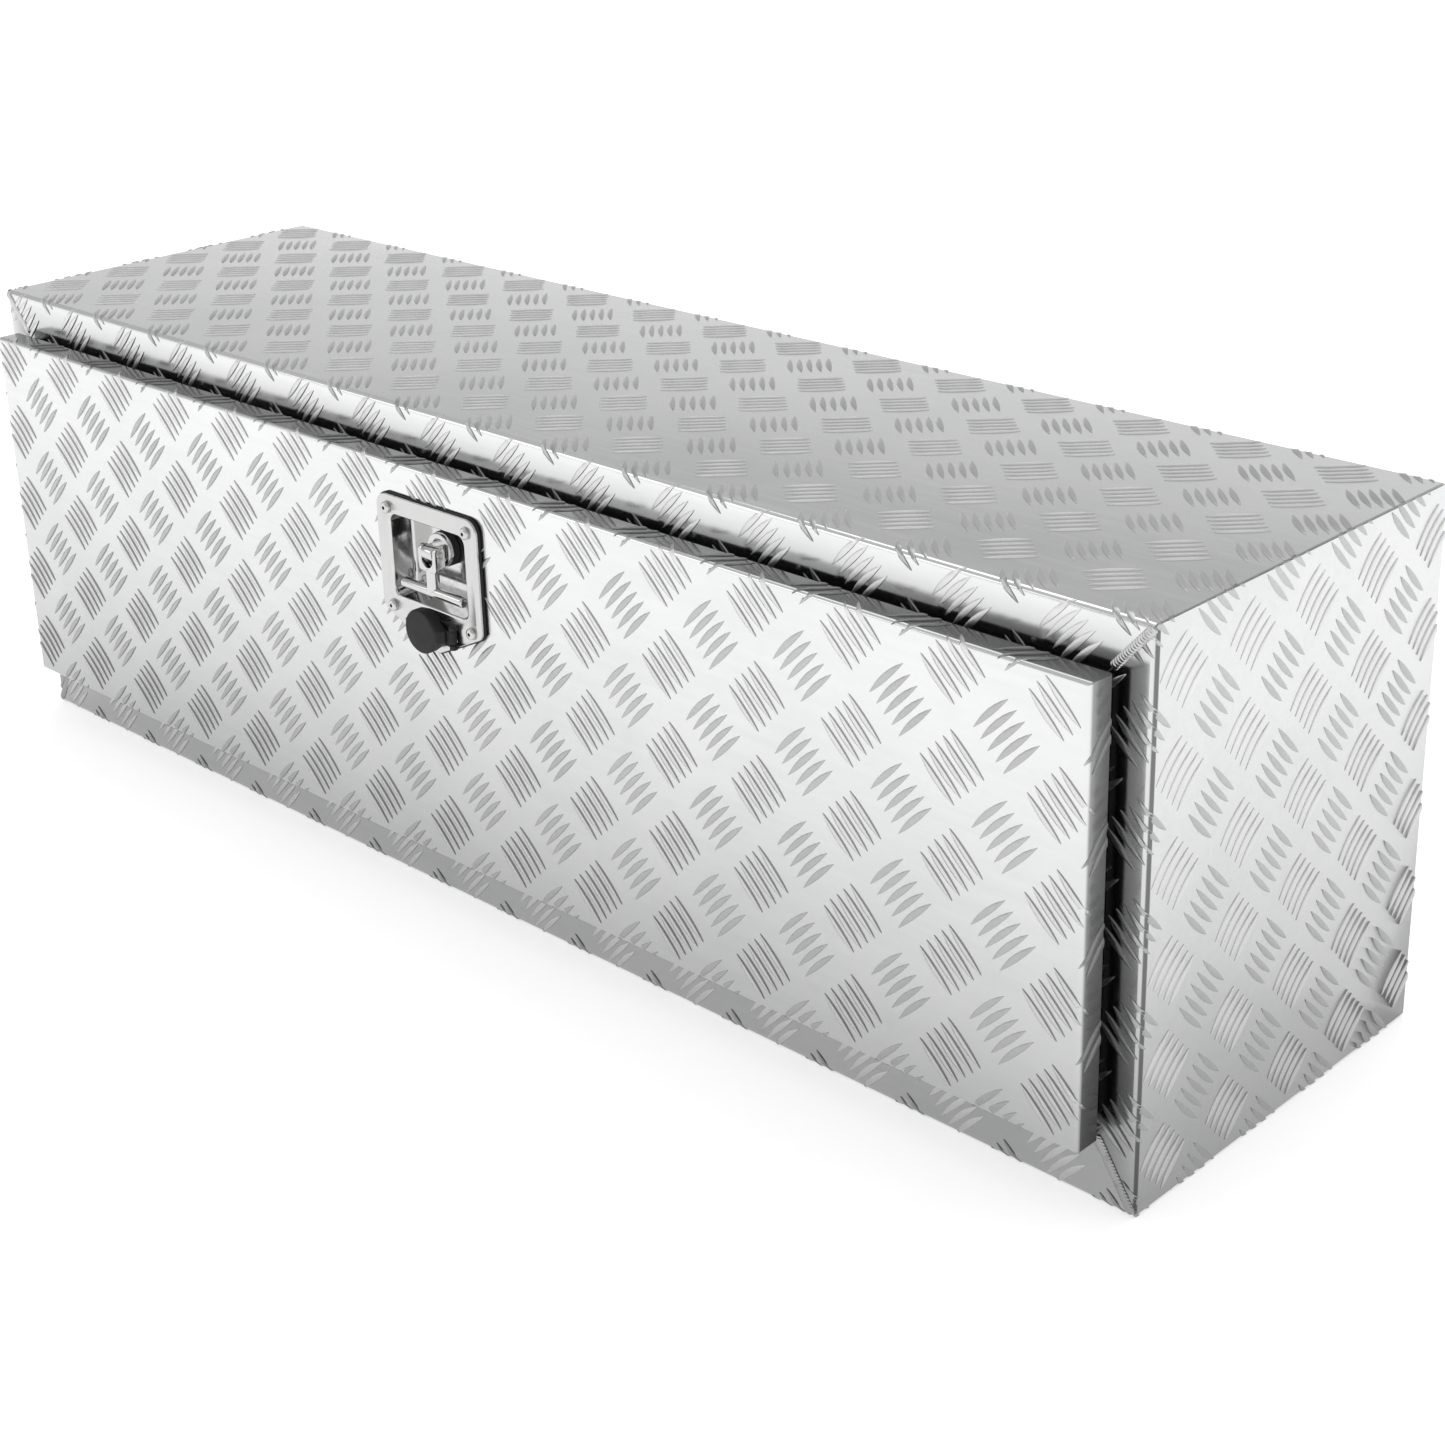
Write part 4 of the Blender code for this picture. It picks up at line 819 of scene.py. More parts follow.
@dataclass(frozen=True)
class TreadPattern:
    """Five-bar tread: groups of parallel lens-shaped bars that lean left and right by turns."""

    bar_length: float = 37 * MM
    bar_width: float = 5.0 * MM
    bar_height: float = 1.0 * MM
    spacing: float = 8.2 * MM
    bars: int = 5
    lean: float = math.radians(45)
    root: float = 0.35 * MM
    # Which leaning groups get the painted lighter tone of the groups that lie along the light: the odd ones for 1, the
    # even ones for 0.
    pale: int = 1
    verts: int = 54

    def lens(self, r: Recipe) -> Value:
        """One bar along X: a leaf with a sheer flank on its +Y side and a soft one on the other."""
        inputs = {"Size": (1, 1, 1), "Vertices X": 9, "Vertices Y": 3, "Vertices Z": 2}
        cube = r.node("GeometryNodeMeshCube", inputs)
        x, y, z = r.split(r.position())
        along = r.math("SINE", x * math.pi)
        swell = r.math("MAXIMUM", 1 - abs(along) ** 2.0, 0.0) ** 0.9
        above = z > 0.0
        sheer = y > 0.1
        soft = y < -0.1
        narrow = 1 - above * (sheer * 0.12 + soft * 0.35)
        width = r.given("Bar Width") * (swell * narrow + 0.05)
        top = r.given("Bar Height") * (0.35 + 0.65 * swell ** 0.5) * (1 - soft * 0.45)
        level = above * top - (1 - above) * r.given("Root")
        bow = r.given("Bar Width") * 0.2 * (along * along - 0.4)
        place = r.xyz(along * r.given("Bar Length") * 0.5, y * width + bow, level)
        moved = r.node("GeometryNodeSetPosition", {"Geometry": cube, "Position": place})
        foot = sheer * (1 - above) * (0.35 + 0.65 * (x < 0.05))
        inputs = {"Geometry": moved, "Name": "shade", "Value": foot}
        return r.node("GeometryNodeStoreNamedAttribute", inputs, data_type="FLOAT", domain="POINT")

    def flat(
        self, window: tuple[float, float, float, float], pitch: Point2, phase: Point2
    ) -> bpy.types.Mesh:
        """The bars whose middles lie in a window of the flat sheet.

        Args:
            window: Its low and high u, then its low and high v.
            pitch: The size of one cell of the pattern.
            phase: The place of one right-leaning group.

        Returns:
            A mesh in the flat sheet's u, v and height.
        """
        u0, u1, v0, v1 = window
        first_u = math.floor((u0 - phase[0]) / pitch[0]) - 1
        first_v = math.floor((v0 - phase[1]) / pitch[1]) - 1
        columns = math.ceil((u1 - u0) / pitch[0]) + 3
        rows = math.ceil((v1 - v0) / pitch[1]) + 3
        r = Recipe(
            "Tread bars",
            Columns=columns,
            Count=columns * rows * 2 * self.bars,
            Pitch_U=pitch[0],
            Pitch_V=pitch[1],
            Start_U=phase[0] + first_u * pitch[0],
            Start_V=phase[1] + first_v * pitch[1],
            Low_U=u0,
            High_U=u1,
            Low_V=v0,
            High_V=v1,
            Bar_Length=self.bar_length,
            Bar_Width=self.bar_width,
            Bar_Height=self.bar_height,
            Root=self.root,
            Spacing=self.spacing,
            Lean=self.lean,
            Material=Dresser.material(BARS),
        )
        index = r.node("GeometryNodeInputIndex")
        group = (index / self.bars).floor()
        odd = group % 2
        cell = (group / 2).floor()
        column = cell % r.given("Columns")
        row = (cell / r.given("Columns")).floor()
        angle = r.given("Lean") * (1 - 2 * odd) + math.pi * (1 - odd)
        aside = (index % self.bars - (self.bars - 1) / 2) * r.given("Spacing")
        u = r.given("Start U") + (column + 0.5 * odd) * r.given("Pitch U")
        v = r.given("Start V") + (row + 0.5 * odd) * r.given("Pitch V")
        place = r.xyz(u - aside * r.math("SINE", angle), v + aside * r.math("COSINE", angle), 0.0)
        points = r.node("GeometryNodePoints", {"Count": r.given("Count"), "Position": place})
        random = {"Min": 0.97, "Max": 1.03, "Seed": SEED}
        size = r.node("FunctionNodeRandomValue", random, data_type="FLOAT")
        bars = r.scatter(points, self.lens(r), r.xyz(0.0, 0.0, angle), r.xyz(size, size, 1.0))
        # Marks the groups that get the painted lighter tone, for the bar finish to read.
        inputs = {"Geometry": bars, "Name": "pale", "Value": odd if self.pale else 1 - odd}
        bars = r.node("GeometryNodeStoreNamedAttribute", inputs, data_type="FLOAT", domain="INSTANCE")
        x, y, _ = r.split(r.position())
        outside = (x < r.given("Low U")) + (x > r.given("High U"))
        outside = outside + (y < r.given("Low V")) + (y > r.given("High V"))
        chosen = {"Geometry": bars, "Selection": outside > 0.5}
        return r.run(r.node("GeometryNodeDeleteGeometry", chosen, domain="INSTANCE"))

    def trimmed(self, flat: bpy.types.Mesh, edges: Sequence[tuple[Point2, Point2]]) -> bmesh.types.BMesh:
        """Cuts the bars along straight lines in the flat sheet and closes their cut ends.

        Args:
            flat: The bars.
            edges: For each cut a point on it and the direction away from the sheet.

        Returns:
            The bars within all the lines.
        """
        place = np.zeros(len(flat.vertices) * 3)
        flat.vertices.foreach_get("co", place)
        place = place.reshape(-1, self.verts, 3)[:, :, :2]
        gone = np.zeros(len(place), bool)
        crossed = np.zeros(len(place), bool)
        for spot, away in edges:
            beyond = (place - np.array(spot)) @ np.array(away) > 0
            gone |= beyond.all(1)
            crossed |= beyond.any(1)
        found = []
        for wanted in (~crossed, crossed & ~gone):
            part = bmesh.new()
            part.from_mesh(flat)
            part.verts.ensure_lookup_table()
            rest = [part.verts[i] for i in np.flatnonzero(np.repeat(~wanted, self.verts))]
            bmesh.ops.delete(part, geom=rest, context="VERTS")
            found.append(part)
        for spot, away in edges:
            geom = [*found[1].verts, *found[1].edges, *found[1].faces]
            bmesh.ops.bisect_plane(
                found[1], geom=geom, dist=1e-7, plane_co=(*spot, 0), plane_no=(*away, 0), clear_outer=True
            )
            open_edges = [e for e in found[1].edges if e.is_boundary]
            bmesh.ops.holes_fill(found[1], edges=open_edges, sides=0)
        return merged(*found)


@dataclass
class FoldedSheet:
    """A sheet folded at right angles along straight lines, and the way back to its flat blank."""

    along: str
    corners: Outline
    side: int
    thickness: float
    bend: float
    steps: int = 8
    shades: dict[int, tuple[float, float, float]] = field(default_factory=dict)

    def __post_init__(self) -> None:
        """Works out the two skins of the cross-section and the length along the outer one."""
        outer, inner, self.dark = [], [], []
        for i, corner in enumerate(self.corners):
            here = Vector(corner)
            before = (here - Vector(self.corners[i - 1])).normalized() if i else None
            last = i == len(self.corners) - 1
            after = None if last else (Vector(self.corners[i + 1]) - here).normalized()
            if before is None or after is None:
                way = after or before
                inward = Vector((way.y, -way.x)) * self.side
                outer.append(here)
                inner.append(here + inward * self.thickness)
                self.dark.append(0.0)
                continue
            centre = here - before * self.bend + after * self.bend
            for angle in np.linspace(0, math.pi / 2, self.steps + 1):
                spoke = before * math.sin(angle) - after * math.cos(angle)
                share, first, last_angle = self.shades.get(i, (0.0, 0.0, 0.0))
                self.dark.append(share if first <= angle <= last_angle else 0.0)
                outer.append(centre + spoke * self.bend)
                inner.append(centre + spoke * (self.bend - self.thickness))
        self.outer = np.array([tuple(p) for p in outer])
        self.inner = np.array([tuple(p) for p in inner])
        steps = np.linalg.norm(np.diff(self.outer, axis=0), axis=1)
        self.lengths = np.concatenate([[0], np.cumsum(steps)])
        self.normals = (self.outer - self.inner) / self.thickness

    def developed(self, spot: Point2) -> float:
        """How far along the flat blank a point of the outer skin lies."""
        fine = np.linspace(0, self.lengths[-1], 20001)
        across = np.stack([np.interp(fine, self.lengths, self.outer[:, k]) for k in (0, 1)], 1)
        return float(fine[np.argmin(np.linalg.norm(across - np.array(spot), axis=1))])

    def wrap(self, bars: bmesh.types.BMesh, developed_first: bool) -> bmesh.types.BMesh:
        """Folds what was laid out on the flat blank round the sheet.

        Args:
            bars: What lies on the blank, in u, v and height.
            developed_first: Whether u runs along the section, rather than v.

        Returns:
            The same mesh, moved.
        """
        flat = np.array([v.co for v in bars.verts])
        if not len(flat):
            return bars
        run, straight = (flat[:, 0], flat[:, 1]) if developed_first else (flat[:, 1], flat[:, 0])
        spot = np.stack([np.interp(run, self.lengths, self.outer[:, k]) for k in (0, 1)], 1)
        normal = np.stack([np.interp(run, self.lengths, self.normals[:, k]) for k in (0, 1)], 1)
        normal /= np.linalg.norm(normal, axis=1)[:, None]
        spot += normal * flat[:, 2:3]
        for vert, (a, b), c in zip(bars.verts, spot, straight):
            vert.co = point(self.along, a, b, c)
        bmesh.ops.recalc_face_normals(bars, faces=bars.faces)
        return bars

    def solid(self, reach: Callable[[Sequence[float]], Point2]) -> bmesh.types.BMesh:
        """The folded sheet, where reach gives the two ends at a point of the section."""
        bm = bmesh.new()
        bm.verts.layers.float.new("shade")
        rows = []
        for skin in (self.outer, self.inner):
            for end in (0, 1):
                rows.append([bm.verts.new(point(self.along, a, b, reach((a, b))[end])) for a, b in skin])
        outer_low, outer_high, inner_low, inner_high = rows
        layer = bm.verts.layers.float["shade"]
        for low, high, dark in zip(outer_low, outer_high, self.dark):
            low[layer] = high[layer] = dark
        for i in range(len(self.outer) - 1):
            bm.faces.new((outer_low[i], outer_low[i + 1], outer_high[i + 1], outer_high[i]))
            bm.faces.new((inner_low[i], inner_low[i + 1], inner_high[i + 1], inner_high[i]))
            bm.faces.new((outer_low[i], outer_low[i + 1], inner_low[i + 1], inner_low[i]))
            bm.faces.new((outer_high[i], outer_high[i + 1], inner_high[i + 1], inner_high[i]))
        for i in (0, -1):
            bm.faces.new((outer_low[i], outer_high[i], inner_high[i], inner_low[i]))
        bmesh.ops.recalc_face_normals(bm, faces=bm.faces)
        return bm


# ------------------------------------------------------------------ body


@dataclass
class Places:
    """Where the frame's main faces lie, read from its nodes."""

    low: Vector
    high: Vector
    opening: Point2
    opening_half: float
    door_low: Vector
    door_high: Vector
    plate_front: float
    plate_top: float

    @classmethod
    def read(cls) -> "Places":
        """Measures the frame."""
        low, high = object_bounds()
        shell_low, shell_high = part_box("body_shell")
        end_low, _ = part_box("right_end_panel")
        door_low, door_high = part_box("door_panel")
        plate_low, plate_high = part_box("latch_dish")
        low = Vector((-high.x, shell_low.y, shell_low.z))
        high = Vector((high.x, shell_high.y, shell_high.z))
        opening = (70 * MM, 345 * MM)
        return cls(
            low, high, opening, end_low.x, door_low, door_high, plate_low.y, plate_high.z
        )

    def out(self, depth: float) -> float:
        """The Y of a plane that lies this far in front of the frame."""
        return self.low.y - depth


@dataclass
class BoxBody:
    """The folded shell, its two end panels, their tread and the welds at the frame's corners."""

    at: Places
    sheet: float = 2 * MM
    bend: float = 4 * MM
    lip: float = 25 * MM
    gap: float = 0.3 * MM
    shell_pattern: TreadPattern = TreadPattern(bar_length=35 * MM, bar_height=0.85 * MM, spacing=7.4 * MM, pale=0)
    end_pattern: TreadPattern = TreadPattern(bar_length=35 * MM, bar_height=0.85 * MM, pale=0)
    shell_pitch: Point2 = (81 * MM, 63.5 * MM)
    end_pitch: Point2 = (71.3 * MM, 65.6 * MM)
    shell_phase: float = -17 * MM
    top_phase: float = 44 * MM
    end_phase: float = 27 * MM
    end_level: float = 359.5 * MM
    end_shades = {1: (0.9, 0.6, 1.6), 2: (0.8, 0.6, 1.4)}
    shell_shades = {1: (0.55, 0.6, 1.6), 6: (0.45, -0.1, 1.0)}

    def mitre(self, z: float) -> float:
        """How far out the frame's mitre lies at this height."""
        bottom, top = self.at.opening
        flange = self.at.high.x - self.at.opening_half
        if z > self.at.high.z / 2:
            return self.at.opening_half + (z - top) / (self.at.high.z - top) * flange
        return self.at.opening_half + (bottom - z) / bottom * flange

    def shell_reach(self, place: Sequence[float]) -> Point2:
        """The two ends of the shell's sheet at a point of its section."""
        y, z = place
        at = self.at
        full = at.high.x - self.sheet - self.gap
        in_frame = y < at.low.y + self.lip + self.bend and (
            z > at.opening[1] - MM or z < at.opening[0] + MM
        )
        on_sheet = y > at.low.y + self.bend + MM and (
            z > at.high.z - self.sheet - MM or z < self.sheet + MM
        )
        half = full
        if in_frame and not on_sheet:
            half = min(full, self.mitre(z) - self.gap)
        return -half, half

    def end_reach(self, place: Sequence[float]) -> Point2:
        """The lower and upper end of an end panel's sheet at a point of its plan."""
        at = self.at
        share = min(1.0, (abs(place[0]) - at.opening_half) / (at.high.x - at.opening_half))
        return at.opening[0] * (1 - share), at.opening[1] + (at.high.z - at.opening[1]) * share

    def shell_sheet(self) -> FoldedSheet:
        """The shell's section in Y and Z."""
        at = self.at
        lip = at.low.y + self.lip
        corners = [
            (lip, at.opening[1]),
            (at.low.y, at.opening[1]),
            (at.low.y, at.high.z),
            (at.high.y, at.high.z),
            (at.high.y, 0),
            (at.low.y, 0),
            (at.low.y, at.opening[0]),
            (lip, at.opening[0]),
        ]
        return FoldedSheet("X", corners, 1, self.sheet, self.bend, shades=self.shell_shades)

    def build_shell(self) -> None:
        """The wrapper of top, back and bottom, with the tread on its outside."""
        at = self.at
        sheet = self.shell_sheet()
        shell = Piece("body_shell_sheet", sheet.solid(self.shell_reach), TREAD)
        shell.bevel(0.25 * MM, 1, 60).smooth()
        shell.ride(Body.BOX, "tread_plate", "body_shell")
        full = at.high.x - self.sheet - self.gap
        start = sheet.developed((at.low.y, at.high.z))
        phase = (self.shell_phase, start + self.top_phase)
        folds = {
            "lip_top": sheet.developed((at.low.y, at.opening[1] + 1 * MM)),
            "top": sheet.developed((at.low.y + MM, at.high.z)),
            "rear_top": sheet.developed((at.high.y, at.high.z - MM)),
            "rear_low": sheet.developed((at.high.y, MM)),
            "low": sheet.developed((at.low.y + MM, 0)),
            "lip_low": sheet.developed((at.low.y, at.opening[0] - MM)),
        }
        end = sheet.lengths[-1]
        zones = {
            "lip_top": (0, folds["lip_top"], at.opening_half, None),
            "top_flange": (folds["lip_top"], folds["top"], full, "top"),
            "top": (folds["top"], folds["rear_top"], full, None),
            "back": (folds["rear_top"], folds["rear_low"], full, None),
            "bottom": (folds["rear_low"], folds["low"], full, None),
            "bottom_flange": (folds["low"], folds["lip_low"], full, "bottom"),
            "lip_bottom": (folds["lip_low"], end, at.opening_half, None),
        }
        made: dict[str, list[bmesh.types.BMesh]] = {"front_top": [], "rear": [], "under": []}
        for name, (low, high, half, mitred) in zones.items():
            window = (-half - 20 * MM, half + 20 * MM, low, high)
            flat = self.shell_pattern.flat(window, self.shell_pitch, phase)
            edges = [((half, 0), (1, 0)), ((-half, 0), (-1, 0)), ((0, 0), (0, -1)), ((0, end), (0, 1))]
            if mitred:
                edges += self.mitre_cuts(sheet, mitred)
            bars = sheet.wrap(self.shell_pattern.trimmed(flat, edges), False)
            group = "rear" if name == "back" else "under" if name in ("bottom", "bottom_flange") else "front_top"
            made[group].append(bars)
        for group, bars in made.items():
            Piece(f"shell_tread_{group}", merged(*bars), BARS).smooth(40).ride(Body.BOX, "tread_plate")

    def mitre_cuts(self, sheet: FoldedSheet, level: str) -> list[tuple[Point2, Point2]]:
        """The two slanted edges of a front flange on the flat blank."""
        at = self.at
        heights = (at.opening[1] + 6 * MM, at.high.z - 6 * MM) if level == "top" else (6 * MM, at.opening[0] - 6 * MM)
        spots = [(self.mitre(z) - self.gap, sheet.developed((at.low.y, z))) for z in heights]
        run = Vector(spots[1]) - Vector(spots[0])
        away = Vector((run.y, -run.x)).normalized()
        if away.x < 0:
            away = -away
        return [(spots[0], tuple(away)), ((-spots[0][0], spots[0][1]), (-away.x, away.y))]

    def build_ends(self) -> None:
        """The two end panels with their front flanges and lips, and the tread on them."""
        at = self.at
        lip = at.low.y + self.lip
        for name, side in SIDES:
            corners = [
                (side * at.opening_half, lip),
                (side * at.opening_half, at.low.y),
                (side * at.high.x, at.low.y),
                (side * at.high.x, at.high.y),
            ]
            sheet = FoldedSheet("Z", corners, -side, self.sheet, self.bend, shades=self.end_shades)
            panel = Piece(f"{name}_end_sheet", sheet.solid(self.end_reach), SHADED_END_TREAD)
            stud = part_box(f"{name}_stay_stud")
            spot = ((stud[0].y + stud[1].y) / 2, (stud[0].z + stud[1].z) / 2)
            ends = sorted((side * (at.opening_half - MM), side * (at.opening_half + 4 * MM)))
            panel.combine("DIFFERENCE", prism("X", circle(spot, 3.3 * MM, 24), *ends))
            panel.bevel(0.9 * MM, 3, 60).smooth()
            panel.ride(Body.BOX, "tread_plate", f"{name}_end_panel")
            fold = sheet.developed((side * at.high.x, at.low.y + MM))
            first = sheet.developed((side * (at.opening_half + MM), at.low.y))
            last = sheet.lengths[-1]
            phase = (fold + self.end_phase, self.end_level)
            bars = []
            for low, high, flange in ((0, first, "lip"), (first, fold, "front"), (fold, last, "end")):
                bottom, top = at.opening if flange == "lip" else (0, at.high.z)
                window = (low, high, bottom - 20 * MM, top + 20 * MM)
                flat = self.end_pattern.flat(window, self.end_pitch, phase)
                edges = [((0, 0), (-1, 0)), ((last, 0), (1, 0)), ((0, top), (0, 1)), ((0, bottom), (0, -1))]
                if flange == "front":
                    edges += self.end_mitres(sheet, side)
                bars.append(sheet.wrap(self.end_pattern.trimmed(flat, edges), True))
            Piece(f"{name}_end_tread", merged(*bars), BARS).smooth(40).ride(Body.BOX, "tread_plate")

    def end_mitres(self, sheet: FoldedSheet, side: int) -> list[tuple[Point2, Point2]]:
        """The slanted edges of an end panel's front flange on its flat blank."""
        at = self.at
        found = []
        for level, sign in ((1, 1), (0, -1)):
            spots = []
            for x in (at.opening_half + 6 * MM, at.high.x - 6 * MM):
                spots.append((sheet.developed((side * x, at.low.y)), self.end_reach((x, 0))[level]))
            run = Vector(spots[1]) - Vector(spots[0])
            away = Vector((-run.y, run.x)).normalized() * sign
            found.append((spots[0], tuple(away)))
        return found

    def build_welds(self) -> None:
        """The rippled bead on each mitre of the frame."""
        at = self.at
        for name, side in SIDES:
            for level, corner_z, inner_z in (
                ("top", at.high.z, at.opening[1]),
                ("bottom", 0.0, at.opening[0]),
            ):
                corner = Vector((side * at.high.x, 0, corner_z))
                inner = Vector((side * at.opening_half, 0, inner_z))
                bead = WeldBead(corner + (inner - corner) * 0.03, inner + (corner - inner) * 0.32, at.out(0.1 * MM))
                node = f"corner_weld_{level}_{name}"
                Piece(f"{node}_bead", bead.build(), None).smooth(50).ride(Body.BOX, "weld_metal", node)

    def build(self) -> None:
        """Builds the whole body."""
        self.build_shell()
        self.build_ends()
        self.build_welds()


@dataclass
class WeldBead:
    """A low bead of overlapping crescents between two points of the frame's face."""

    start: Vector
    end: Vector
    level: float
    width: float = 6.6 * MM
    height: float = 1.5 * MM
    ripple: float = 0.42 * MM
    pitch: float = 2.3 * MM

    def build(self) -> bpy.types.Mesh:
        """Makes the bead's mesh from a Geometry Nodes tree."""
        run = self.end - self.start
        way = run.normalized()
        r = Recipe(
            "Weld bead",
            Length=run.length,
            Width=self.width,
            Height=self.height,
            Ripple=self.ripple,
            Pitch=self.pitch,
            Material=Dresser.material(WELD),
        )
        steps = int(run.length / self.pitch * 6)
        inputs = {"Size": (1, 1, 1), "Vertices X": steps + 1, "Vertices Y": 13, "Vertices Z": 2}
        cube = r.node("GeometryNodeMeshCube", inputs)
        x, y, z = r.split(r.position())
        along = (x + 0.5) * r.given("Length")
        across = r.math("SINE", y * math.pi)
        above = z > 0.0
        wander = r.node("ShaderNodeTexNoise", {"Vector": r.xyz(along * 260.0, 0.0, 0.5), "Scale": 1.0})
        ends = r.math("MINIMUM", (0.5 - abs(x)) * 14.0, 1.0)
        taper = r.math("SQRT", 1 - (1 - ends) * (1 - ends))
        phase = along / r.given("Pitch") + across * across * 0.8 + wander * 0.35
        scallop = abs(r.math("SINE", phase * math.pi))
        dome = r.math("SQRT", 1.0001 - across * across)
        lift = dome * (r.given("Height") - r.given("Ripple") + r.given("Ripple") * scallop) * taper
        half = r.given("Width") * 0.5 * (0.9 + 0.1 * scallop + 0.12 * (wander - 0.5)) * (0.35 + 0.65 * taper)
        height = above * lift - (1 - above) * 0.3 * MM
        side = Vector((-way.z, 0, way.x))
        place = r.xyz(
            self.start.x + along * way.x + across * half * side.x,
            self.level - height,
            self.start.z + along * way.z + across * half * side.z,
        )
        mesh = r.run(r.node("GeometryNodeSetPosition", {"Geometry": cube, "Position": place}))
        bm = bmesh.new()
        bm.from_mesh(mesh)
        bmesh.ops.recalc_face_normals(bm, faces=bm.faces)
        bm.to_mesh(mesh)
        bm.free()
        return mesh


# ------------------------------------------------------------------ seal and hinge


@dataclass
class DoorSeal:
    """The hollow rubber seal on the frame: a flat foot with a round bulb that the door presses."""

    at: Places
    width: float = 9 * MM
    corner: float = 7 * MM
    foot: float = 1.6 * MM

    def build(self) -> None:
        """Carries the seal's section round the frame."""
        low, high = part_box("door_seal")
        front = self.at.low.y
        depth = front - low.y
        near = front - high.y
        section = [(0.0, near), (0.0, self.foot), (1.0 * MM, self.foot + 0.3 * MM)]
        radius = self.width / 2 - 0.7 * MM
        for angle in np.radians(np.linspace(200, -20, 13)):
            rise = (depth - radius) + radius * math.sin(angle)
            section.append((self.width / 2 + radius * math.cos(angle), rise))
        section += [(self.width - 1.0 * MM, self.foot + 0.3 * MM), (self.width, self.foot), (self.width, near)]
        loops = []
        for inset, rise in section:
            radius_here = max(self.corner - inset, 0.5 * MM) if inset < self.corner else 0.5 * MM
            outline = rounded_rectangle(
                low.x + inset, high.x - inset, low.z + inset, high.z - inset, radius_here, 8
            )
            loops.append([(a, front - rise, b) for a, b in outline])
        seal = Piece("door_seal_bulb", loft(loops, ring=True), SEAL)
        seal.smooth(50).ride(Body.BOX, "seal_rubber", "door_seal")


